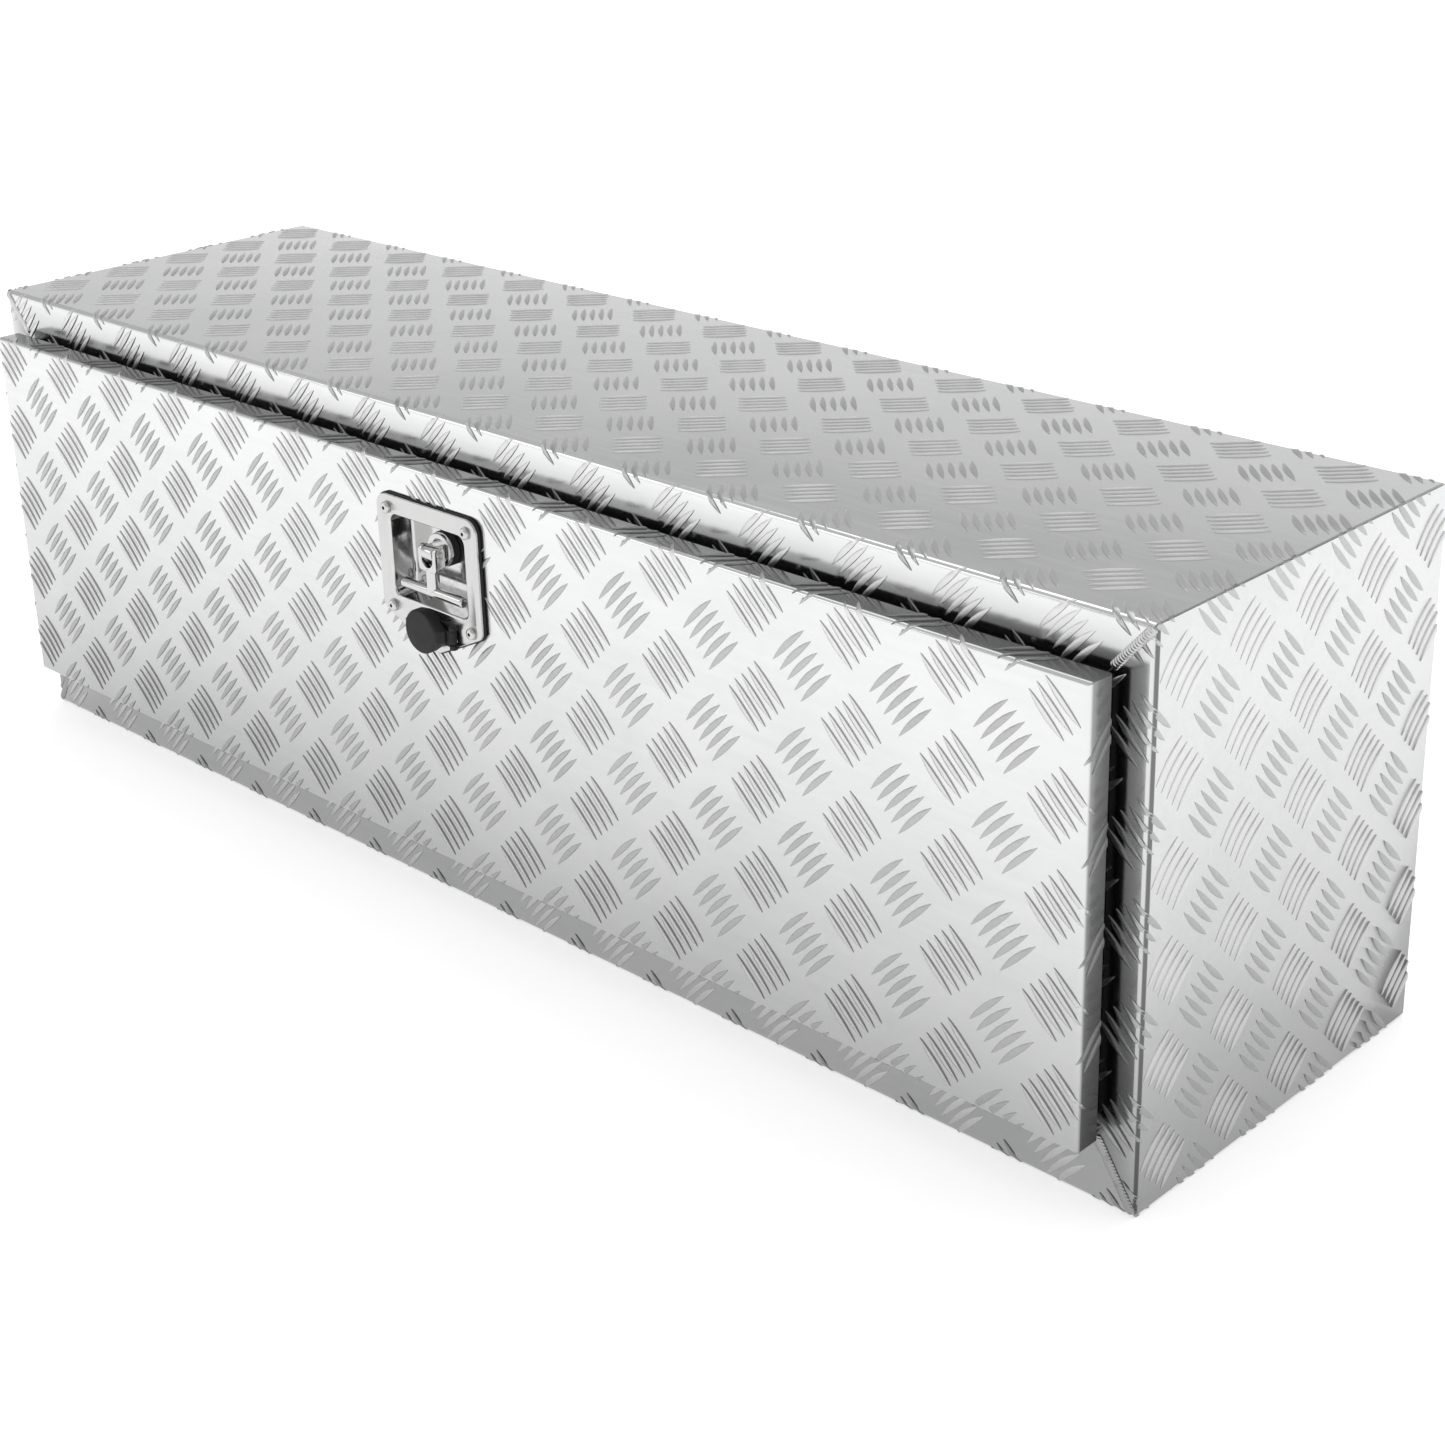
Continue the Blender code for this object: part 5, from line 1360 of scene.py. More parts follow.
@dataclass
class Hinge:
    """The full-length hinge: rolled knuckles on two leaves, rivets and the pin."""

    at: Places
    knuckles: int = 19
    radius: float = 4 * MM
    bore: float = 2 * MM
    leaf: float = 1.5 * MM
    gap: float = 0.35 * MM

    def __post_init__(self) -> None:
        """Reads the pin's place."""
        low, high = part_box("hinge_pin")
        self.axis = ((low.y + high.y) / 2, (low.z + high.z) / 2)
        self.half = high.x

    def knuckle(self, straps: Outline, length: float) -> bmesh.types.BMesh:
        """One knuckle from X = 0, with the strap that joins it to its leaf."""
        y, z = self.axis
        half = length / 2
        edge = 0.35 * MM
        loops = []
        for x, radius in ((-half, self.radius - edge), (edge - half, self.radius), (half - edge, self.radius), (half, self.radius - edge)):
            loops.append([(x, a, b) for a, b in circle(self.axis, radius, 28)])
        for x in (half, -half):
            loops.append([(x, a, b) for a, b in circle(self.axis, self.bore, 28)])
        ring = loft(loops, ring=True)
        return merged(ring, prism("X", straps, -half, half))

    def row(self, name: str, shape: bmesh.types.BMesh, places: Sequence[float]) -> bmesh.types.BMesh:
        """Copies of a shape at places along X, by a Geometry Nodes tree."""
        source = Piece(f"{name}_source", shape, SATIN).item
        r = Recipe(
            name, Shape=source, Count=len(places), Start=places[0],
            Pitch=places[1] - places[0], Material=Dresser.material(SATIN),
        )
        index = r.node("GeometryNodeInputIndex")
        spot = r.xyz(r.given("Start") + index * r.given("Pitch"), 0.0, 0.0)
        points = r.node("GeometryNodePoints", {"Count": r.given("Count"), "Position": spot})
        shape_in = r.node("GeometryNodeObjectInfo", {"Object": r.given("Shape")}).out("Geometry")
        mesh = r.run(r.scatter(points, shape_in, (0.0, 0.0, 0.0)))
        bpy.data.objects.remove(source)
        bm = bmesh.new()
        bm.from_mesh(mesh)
        return bm

    def build(self) -> None:
        """Builds both leaves and the pin."""
        y, z = self.axis
        pitch = 2 * self.half / self.knuckles
        length = pitch - 2 * self.gap
        middles = [-self.half + (i + 0.5) * pitch for i in range(self.knuckles)]
        low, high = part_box("hinge_body_leaf")
        front = self.at.out(0.3 * MM)
        leaf = prism(
            "X", rounded_edge(front - self.leaf, front, z + 4.4 * MM, high.z, 0.4 * MM),
            -self.half, self.half,
        )
        rear = front - self.leaf
        strap = [(front, z - 1.2 * MM), (front, z + 5 * MM), (rear, z + 5 * MM), (rear, z - 1.2 * MM)]
        shape = self.knuckle(strap, length)
        rivet = self.rivet((front - self.leaf, high.z - 3.4 * MM), "front")
        body = merged(leaf, self.row("Body knuckles", shape, middles[0::2]), self.row("Body rivets", rivet, middles[1::2]))
        item = Piece("hinge_leaf_on_box", body, SATIN).smooth(35)
        item.ride(Body.BOX, "stainless_steel", "hinge_body_leaf")
        low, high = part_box("hinge_door_leaf")
        top = high.z
        leaf = prism(
            "X", rounded_edge(low.y, y - 4.6 * MM, top - self.leaf, top, 0.4 * MM), -self.half, self.half
        )
        strap = [(y - 5.4 * MM, top), (y, top - 0.25 * MM), (y, top - self.leaf), (y - 5.4 * MM, top - self.leaf)]
        shape = self.knuckle(strap, length)
        rivet = self.rivet((low.y + 5.5 * MM, top - self.leaf), "under")
        door = merged(leaf, self.row("Door knuckles", shape, middles[1::2]), self.row("Door rivets", rivet, middles[0::2]))
        item = Piece("hinge_leaf_on_door", door, SATIN).smooth(35)
        item.ride(Body.DOOR, "stainless_steel", "hinge_door_leaf")
        pin = turned("X", self.axis, pin_profile(-self.half - 0.5 * MM, self.half + 0.5 * MM, 1.6 * MM, 0.5 * MM), 20)
        Piece("hinge_pin_rod", pin, ZINC).smooth(40).ride(Body.BOX, "zinc_steel", "hinge_pin")

    def rivet(self, spot: Point2, facing: str) -> bmesh.types.BMesh:
        """A low domed rivet head at X = 0 on a leaf's front or under its lower face."""
        radius, height = 2.4 * MM, 0.9 * MM
        profile = [(-0.2 * MM, radius), (0.15 * MM, radius)]
        profile += [(0.15 * MM + height * math.sin(a), radius * math.cos(a) + 0.02 * MM) for a in np.radians([25, 50, 72, 88])]
        if facing == "front":
            return turned("Y", (0, spot[1]), [(spot[0] - c, r) for c, r in profile], 16)
        return turned("Z", (0, spot[0]), [(spot[1] - c, r) for c, r in profile], 16)


def rounded_edge(a0: float, a1: float, b0: float, b1: float, radius: float) -> Outline:
    """A thin strip's section with softened corners."""
    return rounded_rectangle(a0, a1, b0, b1, radius, 3)


# ------------------------------------------------------------------ door


@dataclass
class Door:
    """The folded door pan with its tread, and the smooth riveted liner behind it."""

    at: Places
    sheet: float = 2 * MM
    bend: float = 3 * MM
    lip: float = 12 * MM
    corner: float = 1.2 * MM
    pattern: TreadPattern = TreadPattern()
    pitch: Point2 = (81 * MM, 66.3 * MM)
    phase: Point2 = (59 * MM, 47 * MM)
    steps: int = 6

    def loop(self, inset: float, y: float, radius: float) -> Loop:
        """The door's outline drawn in by inset, at a depth."""
        low, high = self.at.door_low, self.at.door_high
        outline = rounded_rectangle(low.x + inset, high.x - inset, low.z + inset, high.z - inset, radius, 4)
        return [(a, y, b) for a, b in outline]

    def build_pan(self) -> None:
        """The pan, cut out for the dish and the lock."""
        front, rear = self.at.door_low.y, self.at.door_high.y
        loops = [self.loop(self.lip, rear, self.corner), self.loop(0, rear, self.corner)]
        for angle in np.linspace(0, math.pi / 2, self.steps + 1):
            inset = self.bend * (1 - math.cos(angle))
            loops.append(self.loop(inset, front + self.bend * (1 - math.sin(angle)), self.corner))
        outside = len(loops)
        loops.append(self.loop(self.sheet, front + self.sheet, 0.4 * MM))
        loops.append(self.loop(self.sheet, rear - self.sheet, 0.4 * MM))
        loops.append(self.loop(self.lip, rear - self.sheet, self.corner))
        bm = bmesh.new()
        layer = bm.verts.layers.float.new("shade")
        rows = [[bm.verts.new(p) for p in loop] for loop in loops]
        for row, shade in zip(rows, (0.1, 0.75, 0.66, 0.5, 0.15)):
            for vert in row:
                vert[layer] = shade
        bm.faces.new(rows[outside - 1])
        bm.faces.new(rows[outside])
        pairs = [(rows[i], rows[i + 1]) for i in range(len(rows) - 1) if i != outside - 1]
        for row, following in [*pairs, (rows[-1], rows[0])]:
            for i, vert in enumerate(row):
                j = (i + 1) % len(row)
                bm.faces.new((vert, row[j], following[j], following[i]))
        bmesh.ops.recalc_face_normals(bm, faces=bm.faces)
        pan = Piece("door_pan", bm, TREAD)
        depths = (front - MM, front + 3 * MM)
        low_x, high_x, low_z, high_z = self.window(0)
        window = [(low_x, low_z), (high_x, low_z), (high_x, high_z), (low_x, high_z)]
        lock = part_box("lock_cylinder")
        spot = ((lock[0].x + lock[1].x) / 2, (lock[0].z + lock[1].z) / 2)
        pan.combine("DIFFERENCE", prism("Y", window, *depths), prism("Y", circle(spot, 11.5 * MM, 32), *depths))
        pan.smooth().ride(Body.DOOR, "tread_plate", "door_panel")

    def window(self, grow: float) -> tuple[float, float, float, float]:
        """The latch's cut-out in the pan: its low and high X, then its low and high Z."""
        half = 44.2 * MM + grow
        top = self.at.plate_top - 12 * MM + grow
        return -half, half, top - 69 * MM - 2 * grow, top

    def build_tread(self) -> None:
        """The tread on the front and on the four returns."""
        at = self.at
        low, high = at.door_low, at.door_high
        width, height = high.x - low.x, high.z - low.z
        turn_length = math.pi / 2 * self.bend
        reach = high.y - low.y - self.bend
        flat_w, flat_h = width - 2 * self.bend, height - 2 * self.bend
        end = turn_length + reach
        window = (-flat_w / 2 - end, flat_w / 2 + end, -end, flat_h + end)
        phase = (low.x + self.phase[0], flat_h - self.phase[1])
        flat = self.pattern.flat(window, self.pitch, phase)
        edges = [
            ((flat_w / 2 + end, 0), (1, 0)),
            ((-flat_w / 2 - end, 0), (-1, 0)),
            ((0, flat_h + end), (0, 1)),
            ((0, -end), (0, -1)),
        ]
        bars = self.pattern.trimmed(flat, edges)
        flat_places = np.array([v.co for v in bars.verts])
        over_u = np.abs(flat_places[:, 0]) - flat_w / 2
        over_v = np.maximum(-flat_places[:, 1], flat_places[:, 1] - flat_h)
        doomed = [bars.verts[i] for i in self.hidden(bars, flat_places, over_u, over_v)]
        layer = bars.verts.layers.float["shade"]
        for vert, u_over, v_over in zip(bars.verts, over_u, over_v):
            vert.co = self.fold(vert.co, u_over, v_over, flat_w, flat_h)
            turned_in = min(1.0, max(0.0, u_over, v_over) / self.bend)
            vert[layer] = max(vert[layer], 0.5 * turned_in)
        bmesh.ops.delete(bars, geom=doomed, context="VERTS")
        self.tuck(bars)
        bmesh.ops.recalc_face_normals(bars, faces=bars.faces)
        Piece("door_tread", bars, BARS).smooth(40).ride(Body.DOOR, "tread_plate")

    def fold(self, spot: Vector, u_over: float, v_over: float, flat_w: float, flat_h: float) -> Vector:
        """A place of the flat blank folded over the pan's edges."""
        low, high = self.at.door_low, self.at.door_high
        u, v, h = spot
        sign_u, sign_v = math.copysign(1, u), math.copysign(1, v - flat_h / 2)
        over, sign = (u_over, sign_u) if u_over > v_over else (v_over, sign_v)
        if over <= 0:
            return Vector((u, low.y - h, low.z + self.bend + v))
        angle = min(over / self.bend, math.pi / 2)
        rest = max(0.0, over - math.pi / 2 * self.bend)
        aside = (self.bend + h) * math.sin(angle)
        back = self.bend - (self.bend + h) * math.cos(angle) + rest
        if u_over > v_over:
            edge = sign * (high.x - self.bend)
            inner = min(max(v, -self.bend), flat_h + self.bend)
            return Vector((edge + sign * aside, low.y + back, low.z + self.bend + inner))
        edge = high.z - self.bend if sign > 0 else low.z + self.bend
        inner = min(max(u, -flat_w / 2 - self.bend), flat_w / 2 + self.bend)
        return Vector((inner, low.y + back, edge + sign * aside))

    def hidden(self, bars: bmesh.types.BMesh, flat: Any, over_u: Any, over_v: Any) -> list[int]:
        """The vertices of bars that lie across a corner of the blank, where there is no sheet."""
        bars.verts.ensure_lookup_table()
        for i, vert in enumerate(bars.verts):
            vert.index = i
        found, seen = [], set()
        for vert in bars.verts:
            if vert.index in seen:
                continue
            island, stack = [], [vert]
            seen.add(vert.index)
            while stack:
                here = stack.pop()
                island.append(here.index)
                for edge in here.link_edges:
                    other = edge.other_vert(here)
                    if other.index not in seen:
                        seen.add(other.index)
                        stack.append(other)
            u_out, v_out = over_u[island], over_v[island]
            if (np.minimum(u_out, v_out) > 0.5 * MM).any() or ((u_out > 0).any() and (v_out > 0).any()):
                found += island
        return found

    def tuck(self, bars: bmesh.types.BMesh) -> None:
        """Draws what would cross the latch's cut-out back under the latch plate."""
        low_x, high_x, low_z, high_z = self.window(1.2 * MM)
        inside = {}
        for vert in bars.verts:
            x, y, z = vert.co
            within = low_x < x < high_x and low_z < z < high_z and y < self.at.door_low.y + 2 * MM
            inside[vert] = within
        doomed = [f for f in bars.faces if all(inside[v] for v in f.verts)]
        for vert in [v for v, within in inside.items() if within]:
            x, y, z = vert.co
            gaps = {(low_x, 0): x - low_x, (high_x, 0): high_x - x, (low_z, 1): z - low_z, (high_z, 1): high_z - z}
            (edge, axis), _ = min(gaps.items(), key=lambda pair: pair[1])
            vert.co = (edge, y, z) if axis == 0 else (x, y, edge)
        lone = {v for f in doomed for v in f.verts if all(inside[w] for g in v.link_faces for w in g.verts)}
        whole = [v for v in lone if all(e.other_vert(v) in lone for e in v.link_edges)]
        bmesh.ops.delete(bars, geom=whole, context="VERTS")
        open_edges = [e for e in bars.edges if e.is_boundary]
        bmesh.ops.holes_fill(bars, edges=open_edges, sides=0)

    def build_liner(self) -> None:
        """The liner with its window, and the rivets that hold it to the pan's lips."""
        low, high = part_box("door_liner")
        sheet = prism("Y", rounded_rectangle(low.x, high.x, low.z, high.z, 8 * MM, 8), low.y, high.y)
        liner = Piece("door_liner_sheet", sheet, MILL)
        top = self.at.plate_top - 2 * MM
        window = rounded_rectangle(-52 * MM, 52 * MM, top - 127 * MM, top, 8 * MM, 8)
        liner.combine("DIFFERENCE", prism("Y", window, low.y - MM, high.y + MM))
        swages = []
        for x0, x1 in ((low.x + 45 * MM, -90 * MM), (90 * MM, high.x - 45 * MM)):
            for z in (low.z + 80 * MM, (low.z + high.z) / 2, high.z - 80 * MM):
                swages.append(self.swage(x0, x1, z, high.y))
        liner.bevel(0.3 * MM, 1, 60)
        whole = bmesh.new()
        whole.from_mesh(liner.item.data)
        mesh = liner.item.data
        merged(whole, *swages).to_mesh(mesh)
        liner.smooth(35).ride(Body.DOOR, "mill_aluminium", "door_liner")
        rivets = self.rivets()
        Piece("liner_rivets", rivets, None).smooth(50).ride(Body.DOOR, "zinc_steel")

    def swage(self, x0: float, x1: float, z: float, y: float) -> bmesh.types.BMesh:
        """A long pressed rib that stands towards the inside of the box."""
        loops = []
        for grow, rise in ((0.0, -0.2 * MM), (-0.6 * MM, 0.3 * MM), (-2.2 * MM, 1.0 * MM), (-4.2 * MM, 1.25 * MM)):
            outline = rounded_rectangle(x0 - grow, x1 + grow, z - 6 * MM - grow, z + 6 * MM + grow, 6 * MM + grow - 0.05 * MM, 8)
            loops.append([(a, y + rise, b) for a, b in outline])
        return loft(loops)

    def rivets(self) -> bpy.types.Mesh:
        """Rivet heads along the upper and lower lip, by a Geometry Nodes tree."""
        low, high = self.at.door_low, self.at.door_high
        source = turned("Y", (0, 0), [
            (-0.3 * MM, 1.8 * MM), (0.15 * MM, 1.8 * MM), (0.5 * MM, 1.45 * MM), (0.62 * MM, 0.9 * MM),
            (0.45 * MM, 0.75 * MM), (0.42 * MM, 0.2 * MM),
        ], 14)
        item = Piece("rivet_source", source, ZINC).item
        count = 12
        r = Recipe(
            "Liner rivets", Shape=item, Columns=count, Count=2 * count, Start=low.x + 68 * MM,
            Pitch=(high.x - low.x - 136 * MM) / (count - 1), Low=low.z + 5.4 * MM,
            High=high.z - 2.4 * MM, Face=high.y, Material=Dresser.material(ZINC),
        )
        index = r.node("GeometryNodeInputIndex")
        row = (index / r.given("Columns")).floor()
        x = r.given("Start") + (index % r.given("Columns")) * r.given("Pitch")
        z = r.given("Low") + row * (r.given("High") - r.given("Low"))
        spot = r.xyz(x, r.given("Face"), z)
        points = r.node("GeometryNodePoints", {"Count": r.given("Count"), "Position": spot})
        shape = r.node("GeometryNodeObjectInfo", {"Object": r.given("Shape")}).out("Geometry")
        mesh = r.run(r.scatter(points, shape, (0.0, 0.0, 0.0)))
        bpy.data.objects.remove(item)
        return mesh

    def build(self) -> None:
        """Builds the door."""
        self.build_pan()
        self.build_tread()
        self.build_liner()


# ------------------------------------------------------------------ stays


def thread_profile(low: float, high: float, radius: float, pitch: float = 0.9 * MM) -> Outline:
    """A turned profile with the ridges of a thread."""
    count = max(2, int((high - low) / pitch))
    found = []
    for i in range(count):
        start = low + (high - low) * i / count
        found += [(start, radius * 0.9), (start + (high - low) / count / 2, radius)]
    return found + [(high, radius * 0.85)]


def hex_nut(along: str, centre: Point2, radius: float, low: float, high: float, bore: float) -> Piece:
    """A hexagon nut with turned corners and a plain round bore."""
    nut = Piece("nut", prism(along, arc(centre, radius, 0, 300, 5), low, high), ZINC)
    ease = radius * 0.16
    cone = [(low - MM, radius * 0.9), (low + ease, radius + 0.3 * MM), (high - ease, radius + 0.3 * MM), (high + MM, radius * 0.9)]
    nut.combine("INTERSECT", turned(along, centre, cone, 48))
    nut.combine("DIFFERENCE", turned(along, centre, [(low - MM, bore), (high + MM, bore)], 24))
    return nut


def mesh_of(piece: Piece) -> bmesh.types.BMesh:
    """Takes a helper piece's mesh and removes the piece."""
    bm = bmesh.new()
    bm.from_mesh(piece.item.data)
    bpy.data.objects.remove(piece.item)
    return bm


@dataclass
class Stays:
    """On each side a slotted arm, its bracket and rivet on the door, and its stud on the frame."""

    at: Places
    width: float = 18 * MM
    slot: float = 4.4 * MM
    thickness: float = 3 * MM
    slot_start: float = 28.5 * MM
    slot_end: float = 288.1 * MM
    tip: float = 302.1 * MM

    def build(self) -> None:
        """Builds both stays."""
        for name, side in SIDES:
            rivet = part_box(f"{name}_stay_rivet")
            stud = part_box(f"{name}_stay_stud")
            self.pivot = Vector(((rivet[0].y + rivet[1].y) / 2, (rivet[0].z + rivet[1].z) / 2))
            self.stud = Vector(((stud[0].y + stud[1].y) / 2, (stud[0].z + stud[1].z) / 2))
            self.build_arm(name)
            self.build_bracket(name, side)
            self.build_stud(name, side)

    def build_arm(self, name: str) -> None:
        """The arm, with its slot."""
        low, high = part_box(f"{name}_stay_arm")
        way = (self.stud - self.pivot).normalized()
        across = Vector((-way.y, way.x))

        def placed(outline: Outline) -> Outline:
            """Moves an outline from the arm's own axes to Y and Z."""
            return [tuple(self.pivot + way * a + across * b) for a, b in outline]

        half = self.width / 2
        body = placed(stadium(self.tip, half, 0, 20))
        slot = placed(stadium(self.slot_end - self.slot_start, self.slot, self.slot_start, 14))
        arm = Piece(f"{name}_arm", prism("X", body, low.x, high.x), ZINC)
        arm.combine("DIFFERENCE", prism("X", slot, low.x - MM, high.x + MM))
        arm.bevel(0.45 * MM, 2, 60).smooth(30)
        arm.ride(Body.LEFT_STAY if name == "left" else Body.RIGHT_STAY, "zinc_steel", f"{name}_stay_arm")

    def build_bracket(self, name: str, side: int) -> None:
        """The angle bracket and the rivet that the arm turns on."""
        low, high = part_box(f"{name}_stay_bracket")
        tab_near = 561.4 * MM
        tab_far = tab_near + 2.5 * MM
        foot_far = abs(high.x) if side > 0 else abs(low.x)
        front, back = low.y, high.y
        outline = [
            (side * tab_near, back),
            (side * tab_far, back),
            (side * tab_far, front + 4.2 * MM),
            (side * (tab_far + 0.5 * MM), front + 3.0 * MM),
            (side * (tab_far + 1.7 * MM), front + 2.5 * MM),
            (side * foot_far, front + 2.5 * MM),
            (side * foot_far, front),
            (side * (tab_near + 2.4 * MM), front),
            (side * (tab_near + 0.7 * MM), front + 0.7 * MM),
            (side * tab_near, front + 2.4 * MM),
        ]
        bracket = Piece(f"{name}_bracket", prism("Z", outline, low.z, high.z), ZINC)
        bracket.bevel(0.4 * MM, 2, 50)
        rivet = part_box(f"{name}_stay_rivet")
        inner = 556.7 * MM
        profile = [
            (inner - 2.4 * MM, 1.2 * MM),
            (inner - 2.3 * MM, 2.6 * MM),
            (inner - 1.9 * MM, 4.0 * MM),
            (inner - 1.2 * MM, 5.0 * MM),
            (inner - 0.4 * MM, 5.5 * MM),
            (inner, 5.5 * MM),
            (inner, 3.2 * MM),
            (tab_near - 0.1 * MM, 3.2 * MM),
            (tab_near - 0.1 * MM, 3.0 * MM),
            (tab_far + 0.1 * MM, 3.0 * MM),
            (tab_far + 0.1 * MM, 4.6 * MM),
            (tab_far + 0.9 * MM, 4.4 * MM),
            (tab_far + 1.6 * MM, 2.8 * MM),
        ]
        head = turned("X", self.pivot, [(side * c, r) for c, r in profile], 32)
        whole = merged(mesh_of(bracket), head)
        item = Piece(f"{name}_bracket_and_rivet", whole, ZINC).smooth(35)
        item.ride(Body.DOOR, "zinc_steel", f"{name}_stay_bracket", f"{name}_stay_rivet")

    def build_stud(self, name: str, side: int) -> None:
        """The headed stud through the frame's lip, with its nut."""
        low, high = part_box(f"{name}_stay_stud")
        near, far = sorted((abs(low.x), abs(high.x)))
        lip = self.at.opening_half
        arm_near, arm_far = 557.0 * MM, 560.0 * MM
        profile = [
            (near, 4.2 * MM),
            (near + 0.4 * MM, 6.2 * MM),
            (near + 1.0 * MM, 7.0 * MM),
            (arm_near - 0.9 * MM, 7.0 * MM),
            (arm_near - 0.5 * MM, 6.7 * MM),
            (arm_near - 0.5 * MM, 4.0 * MM),
            (arm_far + 0.5 * MM, 4.0 * MM),
            (arm_far + 0.5 * MM, 6.7 * MM),
            (arm_far + 0.8 * MM, 7.0 * MM),
            (lip - 0.3 * MM, 7.0 * MM),
            (lip - 0.3 * MM, 2.9 * MM),
            (lip + 2 * MM, 2.9 * MM),
        ]
        profile += thread_profile(lip + 2.1 * MM, far, 2.95 * MM)
        stud = turned("X", self.stud, [(side * c, r) for c, r in profile], 32)
        ends = sorted((side * (lip + 2.3 * MM), side * (lip + 7.5 * MM)))
        nut = hex_nut("X", tuple(self.stud), 5.8 * MM, *ends, 2.97 * MM)
        item = Piece(f"{name}_stud_and_nut", merged(stud, mesh_of(nut)), ZINC).smooth(35)
        item.ride(Body.BOX, "zinc_steel", f"{name}_stay_stud", f"{name}_stay_nut")


# ------------------------------------------------------------------ latch


@dataclass
class LatchPlate:
    """The pressed plate with its dish, the gasket behind it, and its screws and nuts."""

    at: Places
    half: float = 56 * MM
    side: float = 92 * MM
    corner: float = 11 * MM
    nose: float = 20 * MM
    shoulder: float = 7 * MM
    sheet: float = 2 * MM
    dish_half: float = 41.7 * MM
    dish_drop: float = 14.5 * MM
    dish_height: float = 64 * MM
    depth: float = 20 * MM
    wall: float = 1.5 * MM
    taper: float = 1.5 * MM
    dish_corner: float = 7 * MM
    rim: float = 1.7 * MM
    fillet: float = 3 * MM

    def __post_init__(self) -> None:
        """Reads where the lock and the spindle lie."""
        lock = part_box("lock_cylinder")
        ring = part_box("spindle_ring")
        self.lock_z = (lock[0].z + lock[1].z) / 2
        self.spindle_z = (ring[0].z + ring[1].z) / 2
        self.front = self.at.plate_front
        self.floor = self.front + self.depth
        top = self.at.plate_top
        self.screws = [(s * 44.5 * MM, top - drop) for drop in (10.5 * MM, 87.5 * MM) for s in (-1, 1)]
        self.floor_screws = [(s * 30 * MM, top - 69.5 * MM) for s in (-1, 1)]

    def outline(self, grow: float) -> Outline:
        """The plate's shield shape: square above, with a round-nosed V below."""
        half, top = self.half + grow, self.at.plate_top + grow
        corner, small, nose = self.corner + grow, self.shoulder + grow, self.nose + grow
        low = self.at.plate_top - self.side - grow
        turn_spot = (half - small, low + small)
        rise = turn_spot[1] - self.lock_z
        span = math.hypot(turn_spot[0], rise)
        slope = math.degrees(math.atan2(rise, turn_spot[0]) + math.asin((nose - small) / span))
        right = arc((half - corner, top - corner), corner, 90, 0, 12)
        right += arc(turn_spot, small, 0, slope - 90, 10)
        right += arc((0, self.lock_z), nose, slope - 90, -90, 14)
        return right + [(-a, b) for a, b in reversed(right[:-1])]

    def dish_loop(self, y: float, grow: float) -> Loop:
        """The dish's outline at a depth, grown outwards."""
        top = self.at.plate_top - self.dish_drop
        low = top - self.dish_height
        outline = rounded_rectangle(
            -self.dish_half - grow, self.dish_half + grow, low - grow, top + grow,
            max(self.dish_corner + grow, MM), 10,
        )
        return [(a, y, b) for a, b in outline]

    def hollow(self) -> bmesh.types.BMesh:
        """The space inside the dish, with its rolled rim and filleted floor."""
        steep = self.taper / self.depth
        loops = [self.dish_loop(self.front - 2 * MM, self.rim), self.dish_loop(self.front - 0.001 * MM, self.rim)]
        for angle in np.linspace(15, 90, 6):
            a = math.radians(angle)
            y = self.front + self.rim * (1 - math.cos(a))
            loops.append(self.dish_loop(y, self.rim * (1 - math.sin(a)) - steep * (y - self.front)))
        for angle in np.linspace(0, 90, 6):
            a = math.radians(angle)
            y = self.floor - self.fillet * (1 - math.sin(a))
            inset = self.fillet * (1 - math.cos(a))
            loops.append(self.dish_loop(y, -inset - steep * (self.floor - self.fillet - self.front)))
        return loft(loops)

    def bowl(self) -> bmesh.types.BMesh:
        """The outside of the dish behind the plate."""
        steep = self.taper / self.depth
        back = self.floor + self.wall
        radius = self.fillet + self.wall
        loops = [self.dish_loop(self.front + 0.9 * MM, self.wall)]
        for angle in np.linspace(0, 90, 6):
            a = math.radians(angle)
            y = back - radius * (1 - math.sin(a))
            inset = radius * (1 - math.cos(a))
            loops.append(self.dish_loop(y, self.wall - inset - steep * (back - radius - self.front)))
        return loft(loops)

    def build_plate(self) -> None:
        """The plate and its dish."""
        ease = 0.7 * MM
        loops = []
        for grow, y in (
            (0.0, self.front + self.sheet),
            (0.0, self.front + ease),
            (-0.1 * ease, self.front + 0.6 * ease),
            (-0.3 * ease, self.front + 0.28 * ease),
            (-0.65 * ease, self.front + 0.07 * ease),
            (-ease, self.front),
        ):
            loops.append([(a, y, b) for a, b in self.outline(grow)])
        plate = Piece("latch_plate", loft(loops), SATIN)
        plate.combine("UNION", self.bowl())
        plate.combine("DIFFERENCE", self.hollow())
        through = (self.front - MM, self.floor + 4 * MM)
        holes = [prism("Y", circle((0, self.spindle_z), 6.3 * MM, 32), *through)]
        holes.append(prism("Y", circle((0, self.lock_z), 9.3 * MM, 32), *through))
        holes += [self.countersink(spot) for spot in self.screws]
        holes += [prism("Y", circle(spot, 2.2 * MM, 20), *through) for spot in self.floor_screws]
        plate.combine("DIFFERENCE", *holes)
        plate.smooth(30)
        self.polish_bowl(plate)
        plate.ride(Body.DOOR, "stainless_steel", "latch_dish")

    def polish_bowl(self, plate: Piece) -> None:
        """Gives the inside of the dish and its rim the brighter finish."""
        mesh = plate.item.data
        mesh.materials.append(Dresser.material(BOWL))
        top = self.at.plate_top - self.dish_drop
        middle = top - self.dish_height / 2
        for face in mesh.polygons:
            x, y, z = face.center
            within = abs(x) < self.dish_half + self.rim and abs(z - middle) < self.dish_height / 2 + self.rim
            if within and y > self.front + 0.02 * MM:
                face.material_index = 1

